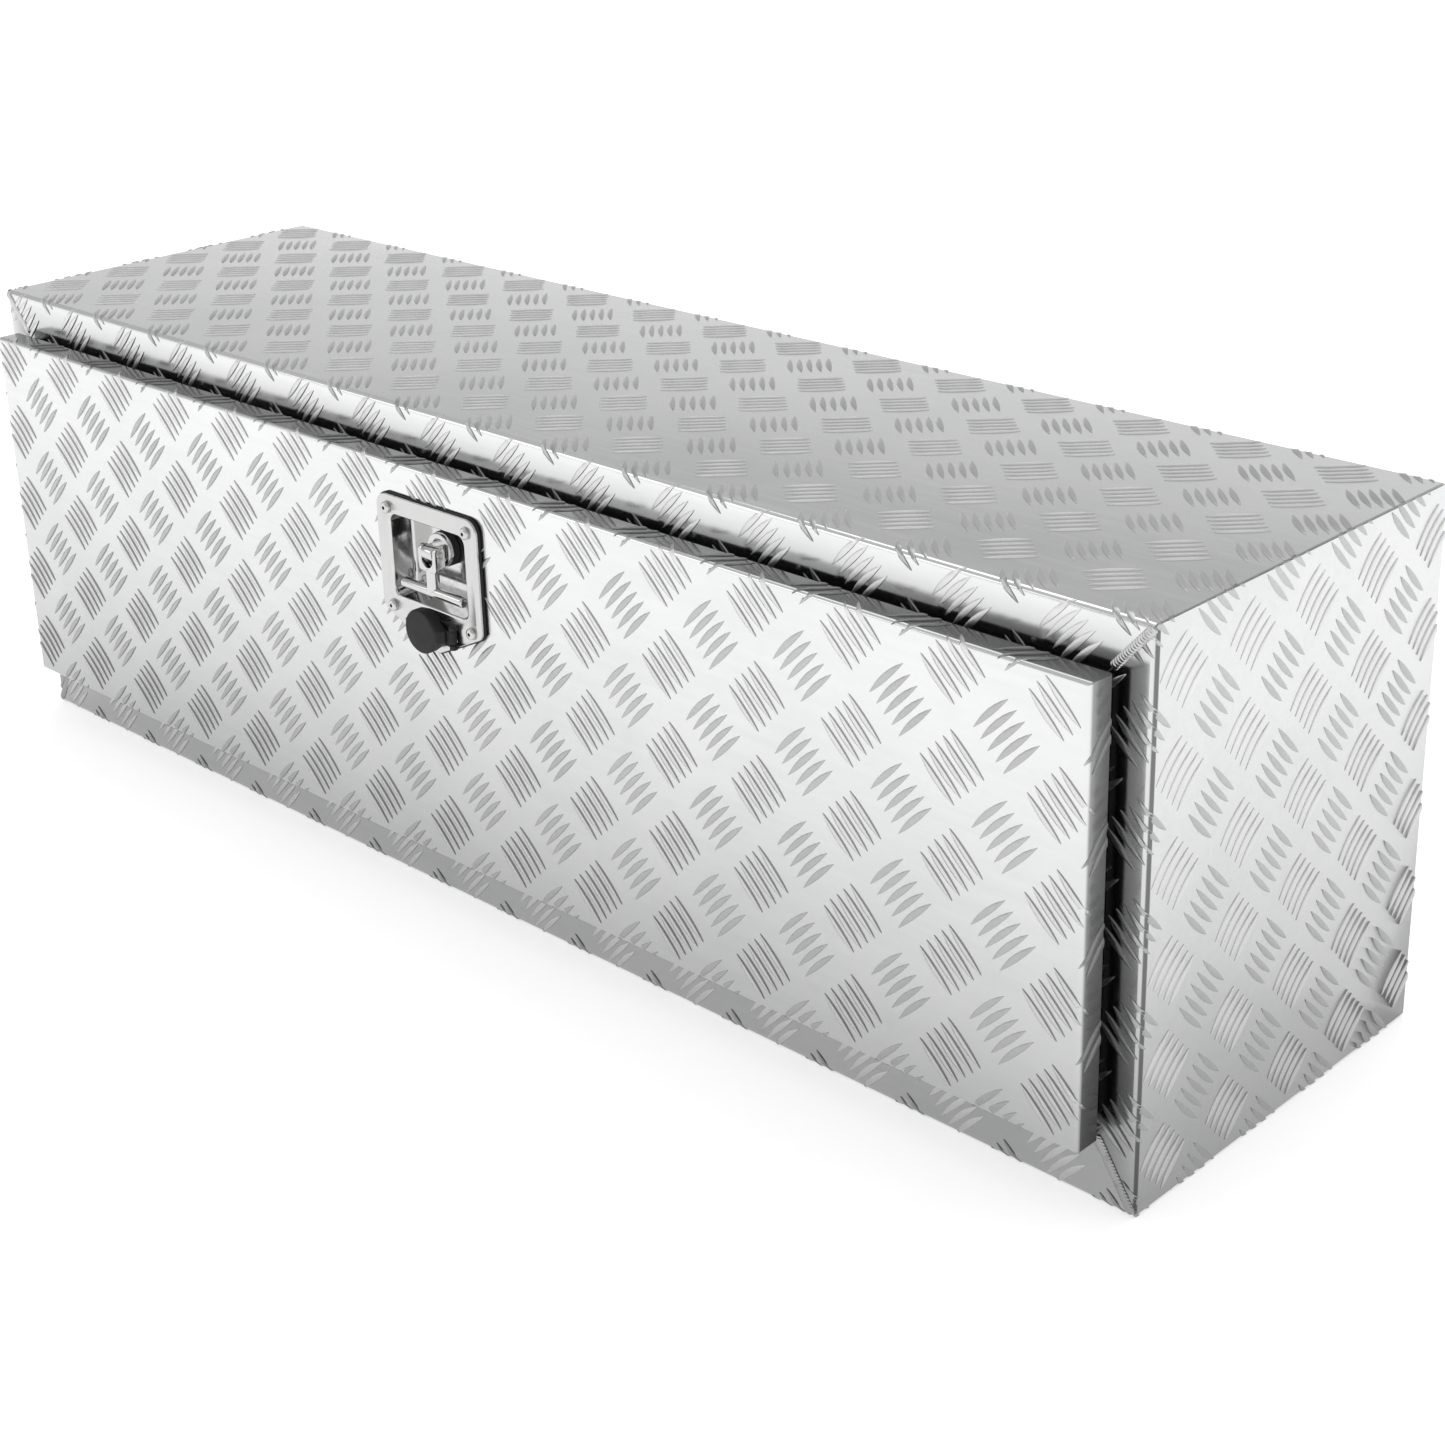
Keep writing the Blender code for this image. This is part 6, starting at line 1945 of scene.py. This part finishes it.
    def countersink(self, spot: Point2) -> bmesh.types.BMesh:
        """A screw hole with a shallow dimple round it."""
        y = self.front
        profile = [(y - MM, 6.6 * MM), (y - 0.001 * MM, 5.9 * MM), (y + 0.35 * MM, 5.0 * MM), (y + 0.4 * MM, 2.8 * MM), (y + 6 * MM, 2.8 * MM)]
        return turned("Y", spot, profile, 32)

    def build_gasket(self) -> None:
        """The black gasket, which shows round the plate's edge."""
        low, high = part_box("latch_gasket")
        loops = []
        for grow, y in ((0.6 * MM, high.y), (MM, high.y - 0.4 * MM), (MM, low.y + 0.4 * MM), (0.6 * MM, low.y)):
            loops.append([(a, y, b) for a, b in self.outline(grow)])
        gasket = Piece("latch_gasket_sheet", loft(loops), SEAL)
        hole = loft([self.dish_loop(y, 2.1 * MM) for y in (low.y - MM, high.y + MM)])
        lock = prism("Y", circle((0, self.lock_z), 9.3 * MM, 24), low.y - MM, high.y + MM)
        gasket.combine("DIFFERENCE", hole, lock)
        gasket.smooth(30).ride(Body.DOOR, "seal_rubber", "latch_gasket")

    def build_screws(self) -> None:
        """The four button-head screws, set at odd angles, and their nuts inside the door."""
        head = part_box("plate_screw_1")
        back = self.front + 0.35 * MM
        profile = [
            (head[0].y, 1.2 * MM),
            (head[0].y + 0.06 * MM, 2.4 * MM),
            (head[0].y + 0.35 * MM, 3.4 * MM),
            (head[0].y + 0.9 * MM, 4.1 * MM),
            (head[0].y + 1.7 * MM, 4.5 * MM),
            (back - 0.15 * MM, 4.5 * MM),
            (back, 4.35 * MM),
            (back, 2.45 * MM),
        ]
        profile += thread_profile(back + MM, head[1].y, 2.45 * MM)
        screw = Piece("screw_source", turned("Y", (0, 0), profile, 32), SATIN)
        socket = [(head[0].y - MM, 1.9 * MM), (head[0].y + 0.2 * MM, 1.5 * MM), (head[0].y + 1.9 * MM, 1.45 * MM), (head[0].y + 2.2 * MM, 0.5 * MM)]
        screw.combine("DIFFERENCE", turned("Y", (0, 0), socket, 6))
        screw.shade(lambda v: v.x ** 2 + v.z ** 2 < (1.7 * MM) ** 2 and v.y > head[0].y + 0.5 * MM)
        mesh = self.spread("Plate screws", screw, self.screws, SATIN, 3.0)
        nodes = [f"plate_screw_{i}" for i in range(1, 5)]
        Piece("plate_screws", mesh, None).smooth(32).ride(Body.DOOR, "stainless_steel", *nodes)
        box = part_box("plate_nut_1")
        nut = hex_nut("Y", (0, 0), 4.6 * MM, box[0].y, box[1].y, 2.5 * MM)
        mesh = self.spread("Plate nuts", nut, self.screws, ZINC, 1.0)
        nodes = [f"plate_nut_{i}" for i in range(1, 5)]
        Piece("plate_nuts", mesh, None).smooth(32).ride(Body.DOOR, "zinc_steel", *nodes)

    def spread(self, name: str, source: Piece, spots: Sequence[Point2], finish: Any, spin: float) -> bpy.types.Mesh:
        """Copies of a fastener at places in X and Z, each turned by its own angle."""
        seeds = bpy.data.meshes.new("places")
        seeds.from_pydata([(x, 0, z) for x, z in spots], [], [])
        r = Recipe(name, Shape=source.item, Spin=spin, Seed=SEED, Material=Dresser.material(finish))
        points = r.node("GeometryNodeMeshToPoints", {"Mesh": r.given("Geometry")})
        shape = r.node("GeometryNodeObjectInfo", {"Object": r.given("Shape")}).out("Geometry")
        inputs = {"Min": 0.0, "Max": r.given("Spin"), "Seed": r.given("Seed")}
        angle = r.node("FunctionNodeRandomValue", inputs, data_type="FLOAT")
        mesh = r.run(r.scatter(points, shape, r.xyz(0.0, angle, 0.0)), seeds)
        bpy.data.objects.remove(source.item)
        return mesh

    def build(self) -> None:
        """Builds the plate's pieces."""
        self.build_gasket()
        self.build_plate()
        self.build_screws()


@dataclass
class Spindle:
    """The housing, ring, spindle and cam that the handle turns."""

    at: Places
    plate: LatchPlate
    flange: float = 13 * MM
    shaft: float = 6 * MM
    tongue_half: float = 5.7 * MM
    tongue_radius: float = 5.6 * MM

    def build_housing(self) -> None:
        """The cast housing behind the dish, with its two screws."""
        low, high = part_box("spindle_housing")
        z = self.plate.spindle_z
        screw_z = self.plate.floor_screws[0][1]
        outline = rounded_rectangle(low.x, high.x, screw_z - 6 * MM, z + 14 * MM, 6 * MM, 8)
        front = low.y
        housing = Piece("housing_casting", prism("Y", outline, front, front + 3 * MM), ZINC)
        tube = [(front + MM, 14.5 * MM), (front + 3 * MM, 14.2 * MM), (front + 4.2 * MM, 12.6 * MM), (front + 6 * MM, 12 * MM),
                (high.y - MM, 12 * MM), (high.y, 11 * MM)]
        housing.combine("UNION", turned("Y", (0, z), tube, 48))
        housing.combine("DIFFERENCE", turned("Y", (0, z), [(front - MM, 6.3 * MM), (high.y + MM, 6.3 * MM)], 32))
        for spot in self.plate.floor_screws:
            housing.combine("DIFFERENCE", turned("Y", spot, [(front - MM, 2.2 * MM), (front + 6 * MM, 2.2 * MM)], 20))
        housing.bevel(0.6 * MM, 2, 50).smooth(35)
        housing.ride(Body.DOOR, "zinc_steel", "spindle_housing")
        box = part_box("housing_screw_left")
        head = [
            (box[0].y, 1.0 * MM),
            (box[0].y + 0.15 * MM, 2.0 * MM),
            (box[0].y + 0.6 * MM, 3.0 * MM),
            (box[0].y + 1.2 * MM, 3.5 * MM),
            (box[0].y + 1.8 * MM, 3.6 * MM),
            (box[0].y + 1.8 * MM, 1.85 * MM),
        ]
        head += thread_profile(box[0].y + 2.2 * MM, box[1].y, 1.88 * MM, 0.8 * MM)
        screw = Piece("housing_screw_source", turned("Y", (0, 0), head, 24), ZINC)
        cross = [rounded_rectangle(-2.0 * MM, 2.0 * MM, -0.4 * MM, 0.4 * MM, 0.3 * MM, 3),
                 rounded_rectangle(-0.4 * MM, 0.4 * MM, -2.0 * MM, 2.0 * MM, 0.3 * MM, 3)]
        for outline in cross:
            screw.combine("DIFFERENCE", prism("Y", outline, box[0].y - MM, box[0].y + MM))
        mesh = self.plate.spread("Housing screws", screw, self.plate.floor_screws, ZINC, 2.0)
        item = Piece("housing_screws", mesh, None).smooth(35)
        item.ride(Body.DOOR, "zinc_steel", "housing_screw_left", "housing_screw_right")

    def build_ring(self) -> None:
        """The black ring under the spindle's flange."""
        low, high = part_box("spindle_ring")
        radius = (high.x - low.x) / 2
        profile = [
            (high.y, radius - 0.3 * MM), (high.y - 0.4 * MM, radius), (low.y + 0.9 * MM, radius),
            (low.y + 0.25 * MM, radius - 0.25 * MM), (low.y, radius - 0.9 * MM), (low.y, 6.3 * MM), (high.y, 6.3 * MM),
        ]
        loops = [[(a, c, b) for a, b in circle((0, self.plate.spindle_z), r, 64)] for c, r in profile]
        Piece("spindle_ring_rubber", loft(loops, ring=True), SEAL).smooth(35).ride(
            Body.DOOR, "seal_rubber", "spindle_ring"
        )

    def build_spindle(self) -> None:
        """The spindle: its flange, its tongue and its threaded inner end."""
        low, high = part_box("spindle")
        z = self.plate.spindle_z
        flange_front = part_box("spindle_ring")[0].y - 4.3 * MM
        back = flange_front + 4 * MM
        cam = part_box("cam")
        profile = [
            (flange_front, 9.6 * MM), (flange_front + 0.05 * MM, self.flange - 1.3 * MM),
            (flange_front + 0.3 * MM, self.flange - 0.5 * MM), (flange_front + 0.8 * MM, self.flange - 0.08 * MM),
            (flange_front + 1.2 * MM, self.flange), (back - 0.3 * MM, self.flange), (back, self.flange - 0.3 * MM),
            (back, self.shaft), (cam[0].y - 0.3 * MM, self.shaft), (cam[0].y - 0.3 * MM, 4.2 * MM),
            (cam[1].y, 4.2 * MM),
        ]
        profile += thread_profile(cam[1].y + 0.3 * MM, high.y, 4.15 * MM, 1.1 * MM)
        spindle = Piece("spindle_shaft", turned("Y", (0, z), profile, 64), POLISHED)
        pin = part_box("handle_pin")
        pin_y = (pin[0].y + pin[1].y) / 2
        nose = arc((pin_y, z), self.tongue_radius, 90, 270, 20)
        root = flange_front + MM
        tongue = nose + [(root, z - self.tongue_radius), (root, z + self.tongue_radius)]
        shape = Piece("tongue", prism("X", tongue, -self.tongue_half, self.tongue_half), POLISHED).bevel(0.9 * MM, 3, 40)
        spindle.combine("UNION", mesh_of(shape))
        spindle.combine("DIFFERENCE", turned("X", (pin_y, z), [(-12 * MM, 2.4 * MM), (12 * MM, 2.4 * MM)], 24))
        spindle.smooth(32).ride(Body.SPINDLE, "polished_steel", "spindle")

    def build_cam(self) -> None:
        """The cam, its washer and its nut."""
        low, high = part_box("cam")
        z = self.plate.spindle_z
        tip_radius = 6 * MM
        tip = high.z - tip_radius
        outline = arc((0, z), 8 * MM, 180, 360, 24) + arc((0, tip), tip_radius, 0, 180, 18)
        cam = Piece("cam_blade", prism("Y", outline, low.y, high.y), ZINC)
        cam.combine("DIFFERENCE", turned("Y", (0, z), [(low.y - MM, 4.5 * MM), (high.y + MM, 4.5 * MM)], 28))
        cam.bevel(0.5 * MM, 2, 50)
        washer_box, nut_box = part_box("cam_washer"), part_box("cam_nut")
        rounds = [(washer_box[0].y, 8.3 * MM), (washer_box[0].y + 0.2 * MM, 8.5 * MM), (washer_box[1].y - 0.2 * MM, 8.5 * MM),
                  (washer_box[1].y, 8.3 * MM), (washer_box[1].y, 4.5 * MM), (washer_box[0].y, 4.5 * MM)]
        washer = loft([[(a, c, b) for a, b in circle((0, z), r, 40)] for c, r in rounds], ring=True)
        nut = hex_nut("Y", (0, z), 7.5 * MM, nut_box[0].y, nut_box[1].y, 4.2 * MM)
        whole = merged(mesh_of(cam), washer, mesh_of(nut))
        Piece("cam_and_nut", whole, ZINC).smooth(35).ride(Body.SPINDLE, "zinc_steel", "cam", "cam_washer", "cam_nut")

    def build(self) -> None:
        """Builds the spindle's pieces."""
        self.build_housing()
        self.build_ring()
        self.build_spindle()
        self.build_cam()


@dataclass
class Handle:
    """The fork on the spindle's tongue, its pin, its shank and the T-bar."""

    plate: LatchPlate
    half: float = 9.6 * MM
    cheek: float = 3.5 * MM
    depth: float = 4.5 * MM
    above: float = 6 * MM
    crotch: float = 8.5 * MM
    below: float = 14.5 * MM
    shank: float = 4.9 * MM
    drop: float = 30.5 * MM
    bar: float = 4 * MM

    def build(self) -> None:
        """Builds the fork with its shank, the pin and the bar."""
        pin_box, bar_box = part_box("handle_pin"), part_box("t_bar")
        y = (pin_box[0].y + pin_box[1].y) / 2
        z = self.plate.spindle_z
        bar_z = (bar_box[0].z + bar_box[1].z) / 2
        top = z + self.above - self.depth
        bottom = z - self.below
        outline = arc((y, top), self.depth, 0, 180, 16)
        outline += [(y - self.depth, bottom + 2 * MM), (y - self.depth + 0.6 * MM, bottom + 0.6 * MM), (y - self.depth + 2 * MM, bottom)]
        outline += [(y + self.depth - 2 * MM, bottom), (y + self.depth - 0.6 * MM, bottom + 0.6 * MM), (y + self.depth, bottom + 2 * MM)]
        fork = Piece("fork", prism("X", outline, -self.half, self.half), POLISHED)
        inner = self.half - self.cheek
        throat = arc((0, z - self.crotch + inner - 2 * MM), inner, 180, 360, 20)
        throat += [(inner, z + 12 * MM), (-inner, z + 12 * MM)]
        fork.combine("DIFFERENCE", prism("Y", throat, y - 8 * MM, y + 8 * MM))
        for side in (-1, 1):
            corner = self.shoulder(side, bottom)
            fork.combine("DIFFERENCE", prism("Y", corner, y - 8 * MM, y + 8 * MM))
        fork.bevel(0.9 * MM, 3, 40)
        collar = [
            (bar_z, self.shank), (bottom - 7 * MM, self.shank), (bottom - 2 * MM, self.shank + 0.25 * MM),
            (bottom + 0.3 * MM, self.shank + 1.2 * MM), (bottom + 2.5 * MM, self.shank + 1.2 * MM),
        ]
        fork.combine("UNION", turned("Z", (0, y), [(c, min(r, self.depth + 0.4 * MM)) for c, r in collar], 48))
        saddle = turned("X", (y, bar_z), [(-20 * MM, self.bar + 0.15 * MM), (20 * MM, self.bar + 0.15 * MM)], 48)
        below = block((-12 * MM, y - 8 * MM, bar_z - 8 * MM), (12 * MM, y + 8 * MM, bar_z + 2 * MM))
        bore = turned("X", (y, z), [(-12 * MM, 2.35 * MM), (12 * MM, 2.35 * MM)], 28)
        fork.combine("DIFFERENCE", saddle, below, bore)
        fork.smooth(32).ride(Body.HANDLE, "polished_steel", "handle_fork")
        pin = turned("X", (y, z), pin_profile(pin_box[0].x, pin_box[1].x, 2.2 * MM, 0.6 * MM), 32)
        Piece("fork_pin", pin, POLISHED).smooth(40).ride(Body.HANDLE, "polished_steel", "handle_pin")
        rod = turned("X", (y, bar_z), pin_profile(bar_box[0].x, bar_box[1].x, self.bar, 1.6 * MM, 6), 48)
        Piece("t_bar_rod", rod, POLISHED).smooth(40).ride(Body.HANDLE, "polished_steel", "t_bar")

    def shoulder(self, side: int, bottom: float) -> Outline:
        """What is cut from a lower corner of the fork so that it runs into the shank in a curve."""
        radius = 4.6 * MM
        centre = (side * (self.half - radius), bottom + radius)
        start, end = (270, 360) if side > 0 else (270, 180)
        curve = arc(centre, radius, start, end, 10)
        corner = (side * (self.half + 2 * MM), bottom + radius)
        low = (side * (self.half + 2 * MM), bottom - 2 * MM)
        return curve + [corner, low, (centre[0], bottom - 2 * MM)]


# ------------------------------------------------------------------ lock


@dataclass
class Lock:
    """The key lock, its nut, plug and tail, and the rubber cap over it."""

    at: Places
    plate: LatchPlate
    radius: float = 9 * MM
    plug: float = 6 * MM
    cap: float = 17 * MM
    tab_half: float = 5 * MM

    def build_cylinder(self) -> None:
        """The cylinder with its flange, and its nut inside the door."""
        low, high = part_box("lock_cylinder")
        z = self.plate.lock_z
        profile = [
            (low.y, 6.3 * MM), (low.y, 9.6 * MM), (low.y + 0.15 * MM, 10.3 * MM), (low.y + 0.6 * MM, 10.9 * MM),
            (low.y + 1.2 * MM, 11 * MM), (low.y + 2 * MM, 11 * MM), (low.y + 2 * MM, self.radius),
            (low.y + 4.5 * MM, self.radius),
        ]
        profile += thread_profile(low.y + 5 * MM, high.y - 0.3 * MM, self.radius, 1.4 * MM) + [(high.y, 6.3 * MM)]
        loops = [[(a, c, b) for a, b in circle((0, z), r, 48)] for c, r in profile]
        barrel = Piece("lock_barrel", loft(loops, ring=True), SATIN)
        barrel.smooth(35).ride(Body.DOOR, "stainless_steel", "lock_cylinder")
        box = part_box("lock_nut")
        nut = hex_nut("Y", (0, z), 13 * MM, box[0].y, box[1].y, 9.05 * MM)
        nut.item.name = "lock_hexagon"
        nut.smooth(35).ride(Body.DOOR, "zinc_steel", "lock_nut")

    def build_plug(self) -> None:
        """The plug with its keyway, and the tail on its inner end."""
        low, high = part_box("lock_plug")
        z = self.plate.lock_z
        profile = [
            (low.y, 5.2 * MM), (low.y + 0.1 * MM, 5.6 * MM), (low.y + 0.5 * MM, self.plug), (high.y - 0.4 * MM, self.plug), (high.y, 5.6 * MM)
        ]
        plug = Piece("lock_plug_core", turned("Y", (0, z), profile, 48), BRASS)
        steps = [
            (-0.45, 3.6), (0.45, 3.6), (0.45, 1.9), (0.95, 1.4), (0.95, 0.2), (0.35, -0.3),
            (0.35, -1.6), (0.8, -2.1), (0.8, -3.6), (-0.55, -3.6), (-0.55, -0.9), (-0.95, -0.4), (-0.95, 0.9), (-0.45, 1.4),
        ]
        keyway = [(a * MM, z + b * MM) for a, b in steps]
        plug.combine("DIFFERENCE", prism("Y", keyway, low.y - MM, low.y + 9 * MM))
        plug.smooth(35).ride(Body.PLUG, "lock_brass", "lock_plug")
        low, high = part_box("lock_tail")
        half = 5 * MM
        outline = arc((0, z), half, 180, 360, 20) + arc((0, high.z - half), half, 0, 180, 20)
        tail = Piece("lock_tail_blade", prism("Y", outline, low.y, high.y), ZINC)
        tail.bevel(0.35 * MM, 2, 50).smooth(35)
        tail.ride(Body.PLUG, "zinc_steel", "lock_tail")

    def outline(self, far: float, grow: float = 0.0) -> Outline:
        """The cap's outline: round on the left, closing in on a flat right end."""
        z = self.plate.lock_z
        radius = self.cap + grow
        found = arc((0, z), radius, 50, 310, 44)
        half = self.tab_half + grow
        soft = 1.2 * MM
        found += [(far + grow - soft, z - half), (far + grow - 0.3 * soft, z - half + 0.3 * soft), (far + grow, z - half + soft)]
        found += [(far + grow, z + half - soft), (far + grow - 0.3 * soft, z + half - 0.3 * soft), (far + grow - soft, z + half)]
        return found

    def build_collar(self) -> None:
        """The rubber collar round the lock, with the ears for the cap's pin, and the pin."""
        low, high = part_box("cap_collar")
        z = self.plate.lock_z
        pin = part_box("cap_pin")
        spot = ((pin[0].x + pin[1].x) / 2, (pin[0].y + pin[1].y) / 2)
        back, front = high.y, self.at.plate_front - 4.2 * MM
        profile = [(back, 14.7 * MM), (back - 0.4 * MM, 15 * MM), (front + 0.6 * MM, 15 * MM), (front + 0.1 * MM, 14.7 * MM), (front, 14.2 * MM)]
        collar = Piece("lock_collar", turned("Y", (0, z), profile, 64), MOULDED)
        arm = rounded_rectangle(8 * MM, spot[0] + 2 * MM, z - 9 * MM, z + 9 * MM, 1.5 * MM, 4)
        collar.combine("UNION", prism("Y", arm, front + 1.6 * MM, back))
        for sign in (-1, 1):
            z0, z1 = sorted((z + sign * 5.4 * MM, z + sign * 9 * MM))
            ear = turned("Z", spot, [(z0, 2.8 * MM), (z0 + 0.3 * MM, 3.1 * MM), (z1 - 0.3 * MM, 3.1 * MM), (z1, 2.8 * MM)], 32)
            collar.combine("UNION", ear)
        between = block(
            (spot[0] - 4 * MM, self.at.plate_front - 9 * MM, z - 5.4 * MM),
            (spot[0] + 5 * MM, self.at.plate_front + MM, z + 5.4 * MM),
        )
        collar.combine("DIFFERENCE", between)
        collar.combine("DIFFERENCE", turned("Y", (0, z), [(front - 4 * MM, 11.3 * MM), (back + MM, 11.3 * MM)], 48))
        collar.smooth(35).ride(Body.DOOR, "cap_rubber", "cap_collar")
        rod = turned("Z", spot, pin_profile(pin[0].z, pin[1].z, MM, 0.3 * MM), 24)
        Piece("cap_pin_rod", rod, ZINC).smooth(40).ride(Body.DOOR, "zinc_steel", "cap_pin")

    def build_cap(self) -> None:
        """The cap with its rounded face, flats, finger tab and knuckle."""
        low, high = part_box("lock_cap")
        z = self.plate.lock_z
        front = low.y
        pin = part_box("cap_pin")
        spot = ((pin[0].x + pin[1].x) / 2, (pin[0].y + pin[1].y) / 2)
        back = self.at.plate_front - 4.6 * MM
        loops = []
        for y, far, grow in (
            (back, 23 * MM, -0.4 * MM), (back - 0.4 * MM, 23 * MM, 0.0), (back - 3 * MM, 23 * MM, 0.0),
            (front + 1.5 * MM, 19.8 * MM, 0.0), (front + 0.8 * MM, 19.3 * MM, -0.25 * MM),
            (front + 0.3 * MM, 18.8 * MM, -0.75 * MM), (front + 0.06 * MM, 18.2 * MM, -1.5 * MM),
            (front, 17.5 * MM, -2.4 * MM),
        ):
            loops.append([(a, y, b) for a, b in self.outline(far, grow)])
        cap = Piece("cap_shell", loft(loops), MOULDED)
        tab = Piece("tab", block((-self.cap - 4.5 * MM, back - 3.6 * MM, z - 5 * MM), (-self.cap + 3 * MM, back, z + 5 * MM)), MOULDED)
        tab.bevel(1.2 * MM, 3, 40)
        cap.combine("UNION", mesh_of(tab))
        half = 5 * MM
        knuckle = turned("Z", spot, [(z - half, 2.3 * MM), (z - half + 0.3 * MM, 2.6 * MM), (z + half - 0.3 * MM, 2.6 * MM), (z + half, 2.3 * MM)], 32)
        web = block((20 * MM, spot[1] - 2.5 * MM, z - half), (spot[0], back, z + half))
        cap.combine("UNION", knuckle, web)
        cap.combine("DIFFERENCE", turned("Z", spot, [(z - 9 * MM, 1.2 * MM), (z + 9 * MM, 1.2 * MM)], 20))
        cap.combine("DIFFERENCE", turned("Y", (0, z), [(front + 4 * MM, 11 * MM), (front + 4.6 * MM, 12 * MM), (back + MM, 12.1 * MM)], 48))
        cap.smooth(30).ride(Body.CAP, "cap_rubber", "lock_cap")

    def build(self) -> None:
        """Builds the lock's pieces."""
        self.build_cylinder()
        self.build_plug()
        self.build_collar()
        self.build_cap()


# ------------------------------------------------------------------ studio


@dataclass
class Studio:
    """A plain pale floor, soft lights and the camera."""

    azimuth: float = 44.70
    elevation: float = 21.36
    roll: float = -1.62
    focal: float = 2474.0
    picture: float = 1445.0
    distance: float = 1.964
    aside: Point2 = (0.076, 0.009)
    target: tuple[float, float, float] = (0.0, 0.0, 0.1975)
    shift: float = -0.0848

    def build_camera(self) -> None:
        """The camera."""
        az, el = math.radians(self.azimuth), math.radians(self.elevation)
        back = Vector((math.sin(az) * math.cos(el), -math.cos(az) * math.cos(el), math.sin(el)))
        right = Vector((0, 0, 1)).cross(back).normalized()
        up = back.cross(right)
        c, s = math.cos(math.radians(self.roll)), math.sin(math.radians(self.roll))
        turned_right = right * c + up * s
        turned_up = up * c - right * s
        data = bpy.data.cameras.new("camera")
        data.lens = self.focal / self.picture * data.sensor_width
        data.shift_y = self.shift
        data.clip_start, data.clip_end = 0.05, 60
        camera = bpy.data.objects.new("camera", data)
        bpy.context.scene.collection.objects.link(camera)
        place = Vector(self.target) + back * self.distance
        place += turned_right * self.aside[0] + turned_up * self.aside[1]
        camera.matrix_world = Matrix.Translation(place) @ Matrix(
            [(turned_right[i], turned_up[i], back[i]) for i in range(3)]
        ).to_4x4()
        bpy.context.scene.camera = camera

    def lamp(self, name: str, place: Loop, aim: tuple, size: Point2, watts: float) -> None:
        """A soft rectangular lamp, aimed at a point."""
        data = bpy.data.lights.new(name, "AREA")
        data.shape = "RECTANGLE"
        data.size, data.size_y = size
        data.energy = watts
        lamp = bpy.data.objects.new(name, data)
        bpy.context.scene.collection.objects.link(lamp)
        lamp.location = place
        away = Vector(place) - Vector(aim)
        lamp.rotation_euler = away.to_track_quat("Z", "Y").to_euler()

    def build_world(self) -> None:
        """A pale room: grey near the horizon, bright overhead."""
        world = bpy.data.worlds.new("studio")
        bpy.context.scene.world = world
        world.use_nodes = True
        world.node_tree.nodes.clear()
        g = Graph(world.node_tree)
        _, _, height = g.split(g.node("ShaderNodeTexCoord").out("Generated"))
        stops = [
            (0.0, 0.24), (0.08, 0.50), (0.20, 0.80), (0.30, 0.68), (0.38, 0.50), (0.60, 0.55), (1.0, 0.7)
        ]
        shade = g.node("ShaderNodeValToRGB", {"Fac": height}, stops=stops)
        light = g.node("ShaderNodeBackground", {"Color": shade, "Strength": 1.0})
        g.node("ShaderNodeOutputWorld", {"Surface": light})

    def build(self) -> None:
        """Builds the studio."""
        rim = [(-0.001, 9.0), (0.1, 11.0), (0.5, 12.6), (1.2, 13.6), (2.2, 14.0), (2.2, 14.2), (-0.05, 14.2)]
        floor = Piece("studio_floor", turned("Z", (0, 0), rim, 96), FLOOR).smooth(60)
        floor.item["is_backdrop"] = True
        self.build_camera()
        self.build_world()
        self.lamp("overhead", (-0.3, 0.9, 2.6), (0, 0, 0.1), (2.6, 1.6), 16)
        self.lamp("front_left", (-2.2, -2.4, 1.8), (0, 0, 0.2), (1.6, 1.2), 7)
        self.lamp("right_rear", (2.6, 1.6, 1.5), (0.4, 0, 0.2), (1.0, 1.0), 3)
        bpy.context.scene.view_settings.view_transform = "Standard"


def dress_strike() -> None:
    """The steel angle that the cam bears against, with rounded edges."""
    low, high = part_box("strike_plate")
    sheet = 2 * MM
    leg = high.y - sheet
    outline = [
        (low.y, high.z), (high.y - 1.2 * MM, high.z), (high.y - 0.35 * MM, high.z - 0.35 * MM), (high.y, high.z - 1.2 * MM),
        (high.y, low.z), (leg, low.z), (leg, high.z - sheet), (low.y, high.z - sheet),
    ]
    plate = Piece("strike_angle", prism("X", outline, low.x, high.x), ZINC)
    plate.bevel(0.3 * MM, 2, 50).smooth(35)
    plate.ride(Body.BOX, "zinc_steel", "strike_plate")


def main() -> None:
    """Builds the tool box round its frame."""
    logging.basicConfig(level=logging.INFO, format="%(message)s")
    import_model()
    at = Places.read()
    plate = LatchPlate(at)
    assemblies = (
        BoxBody(at), DoorSeal(at), Hinge(at), Door(at), Stays(at), plate,
        Spindle(at, plate), Handle(plate), Lock(at, plate), Studio(),
    )
    for assembly in assemblies:
        LOG.info("building %s", type(assembly).__name__)
        assembly.build()
    dress_strike()


if __name__ == "__main__":
    main()
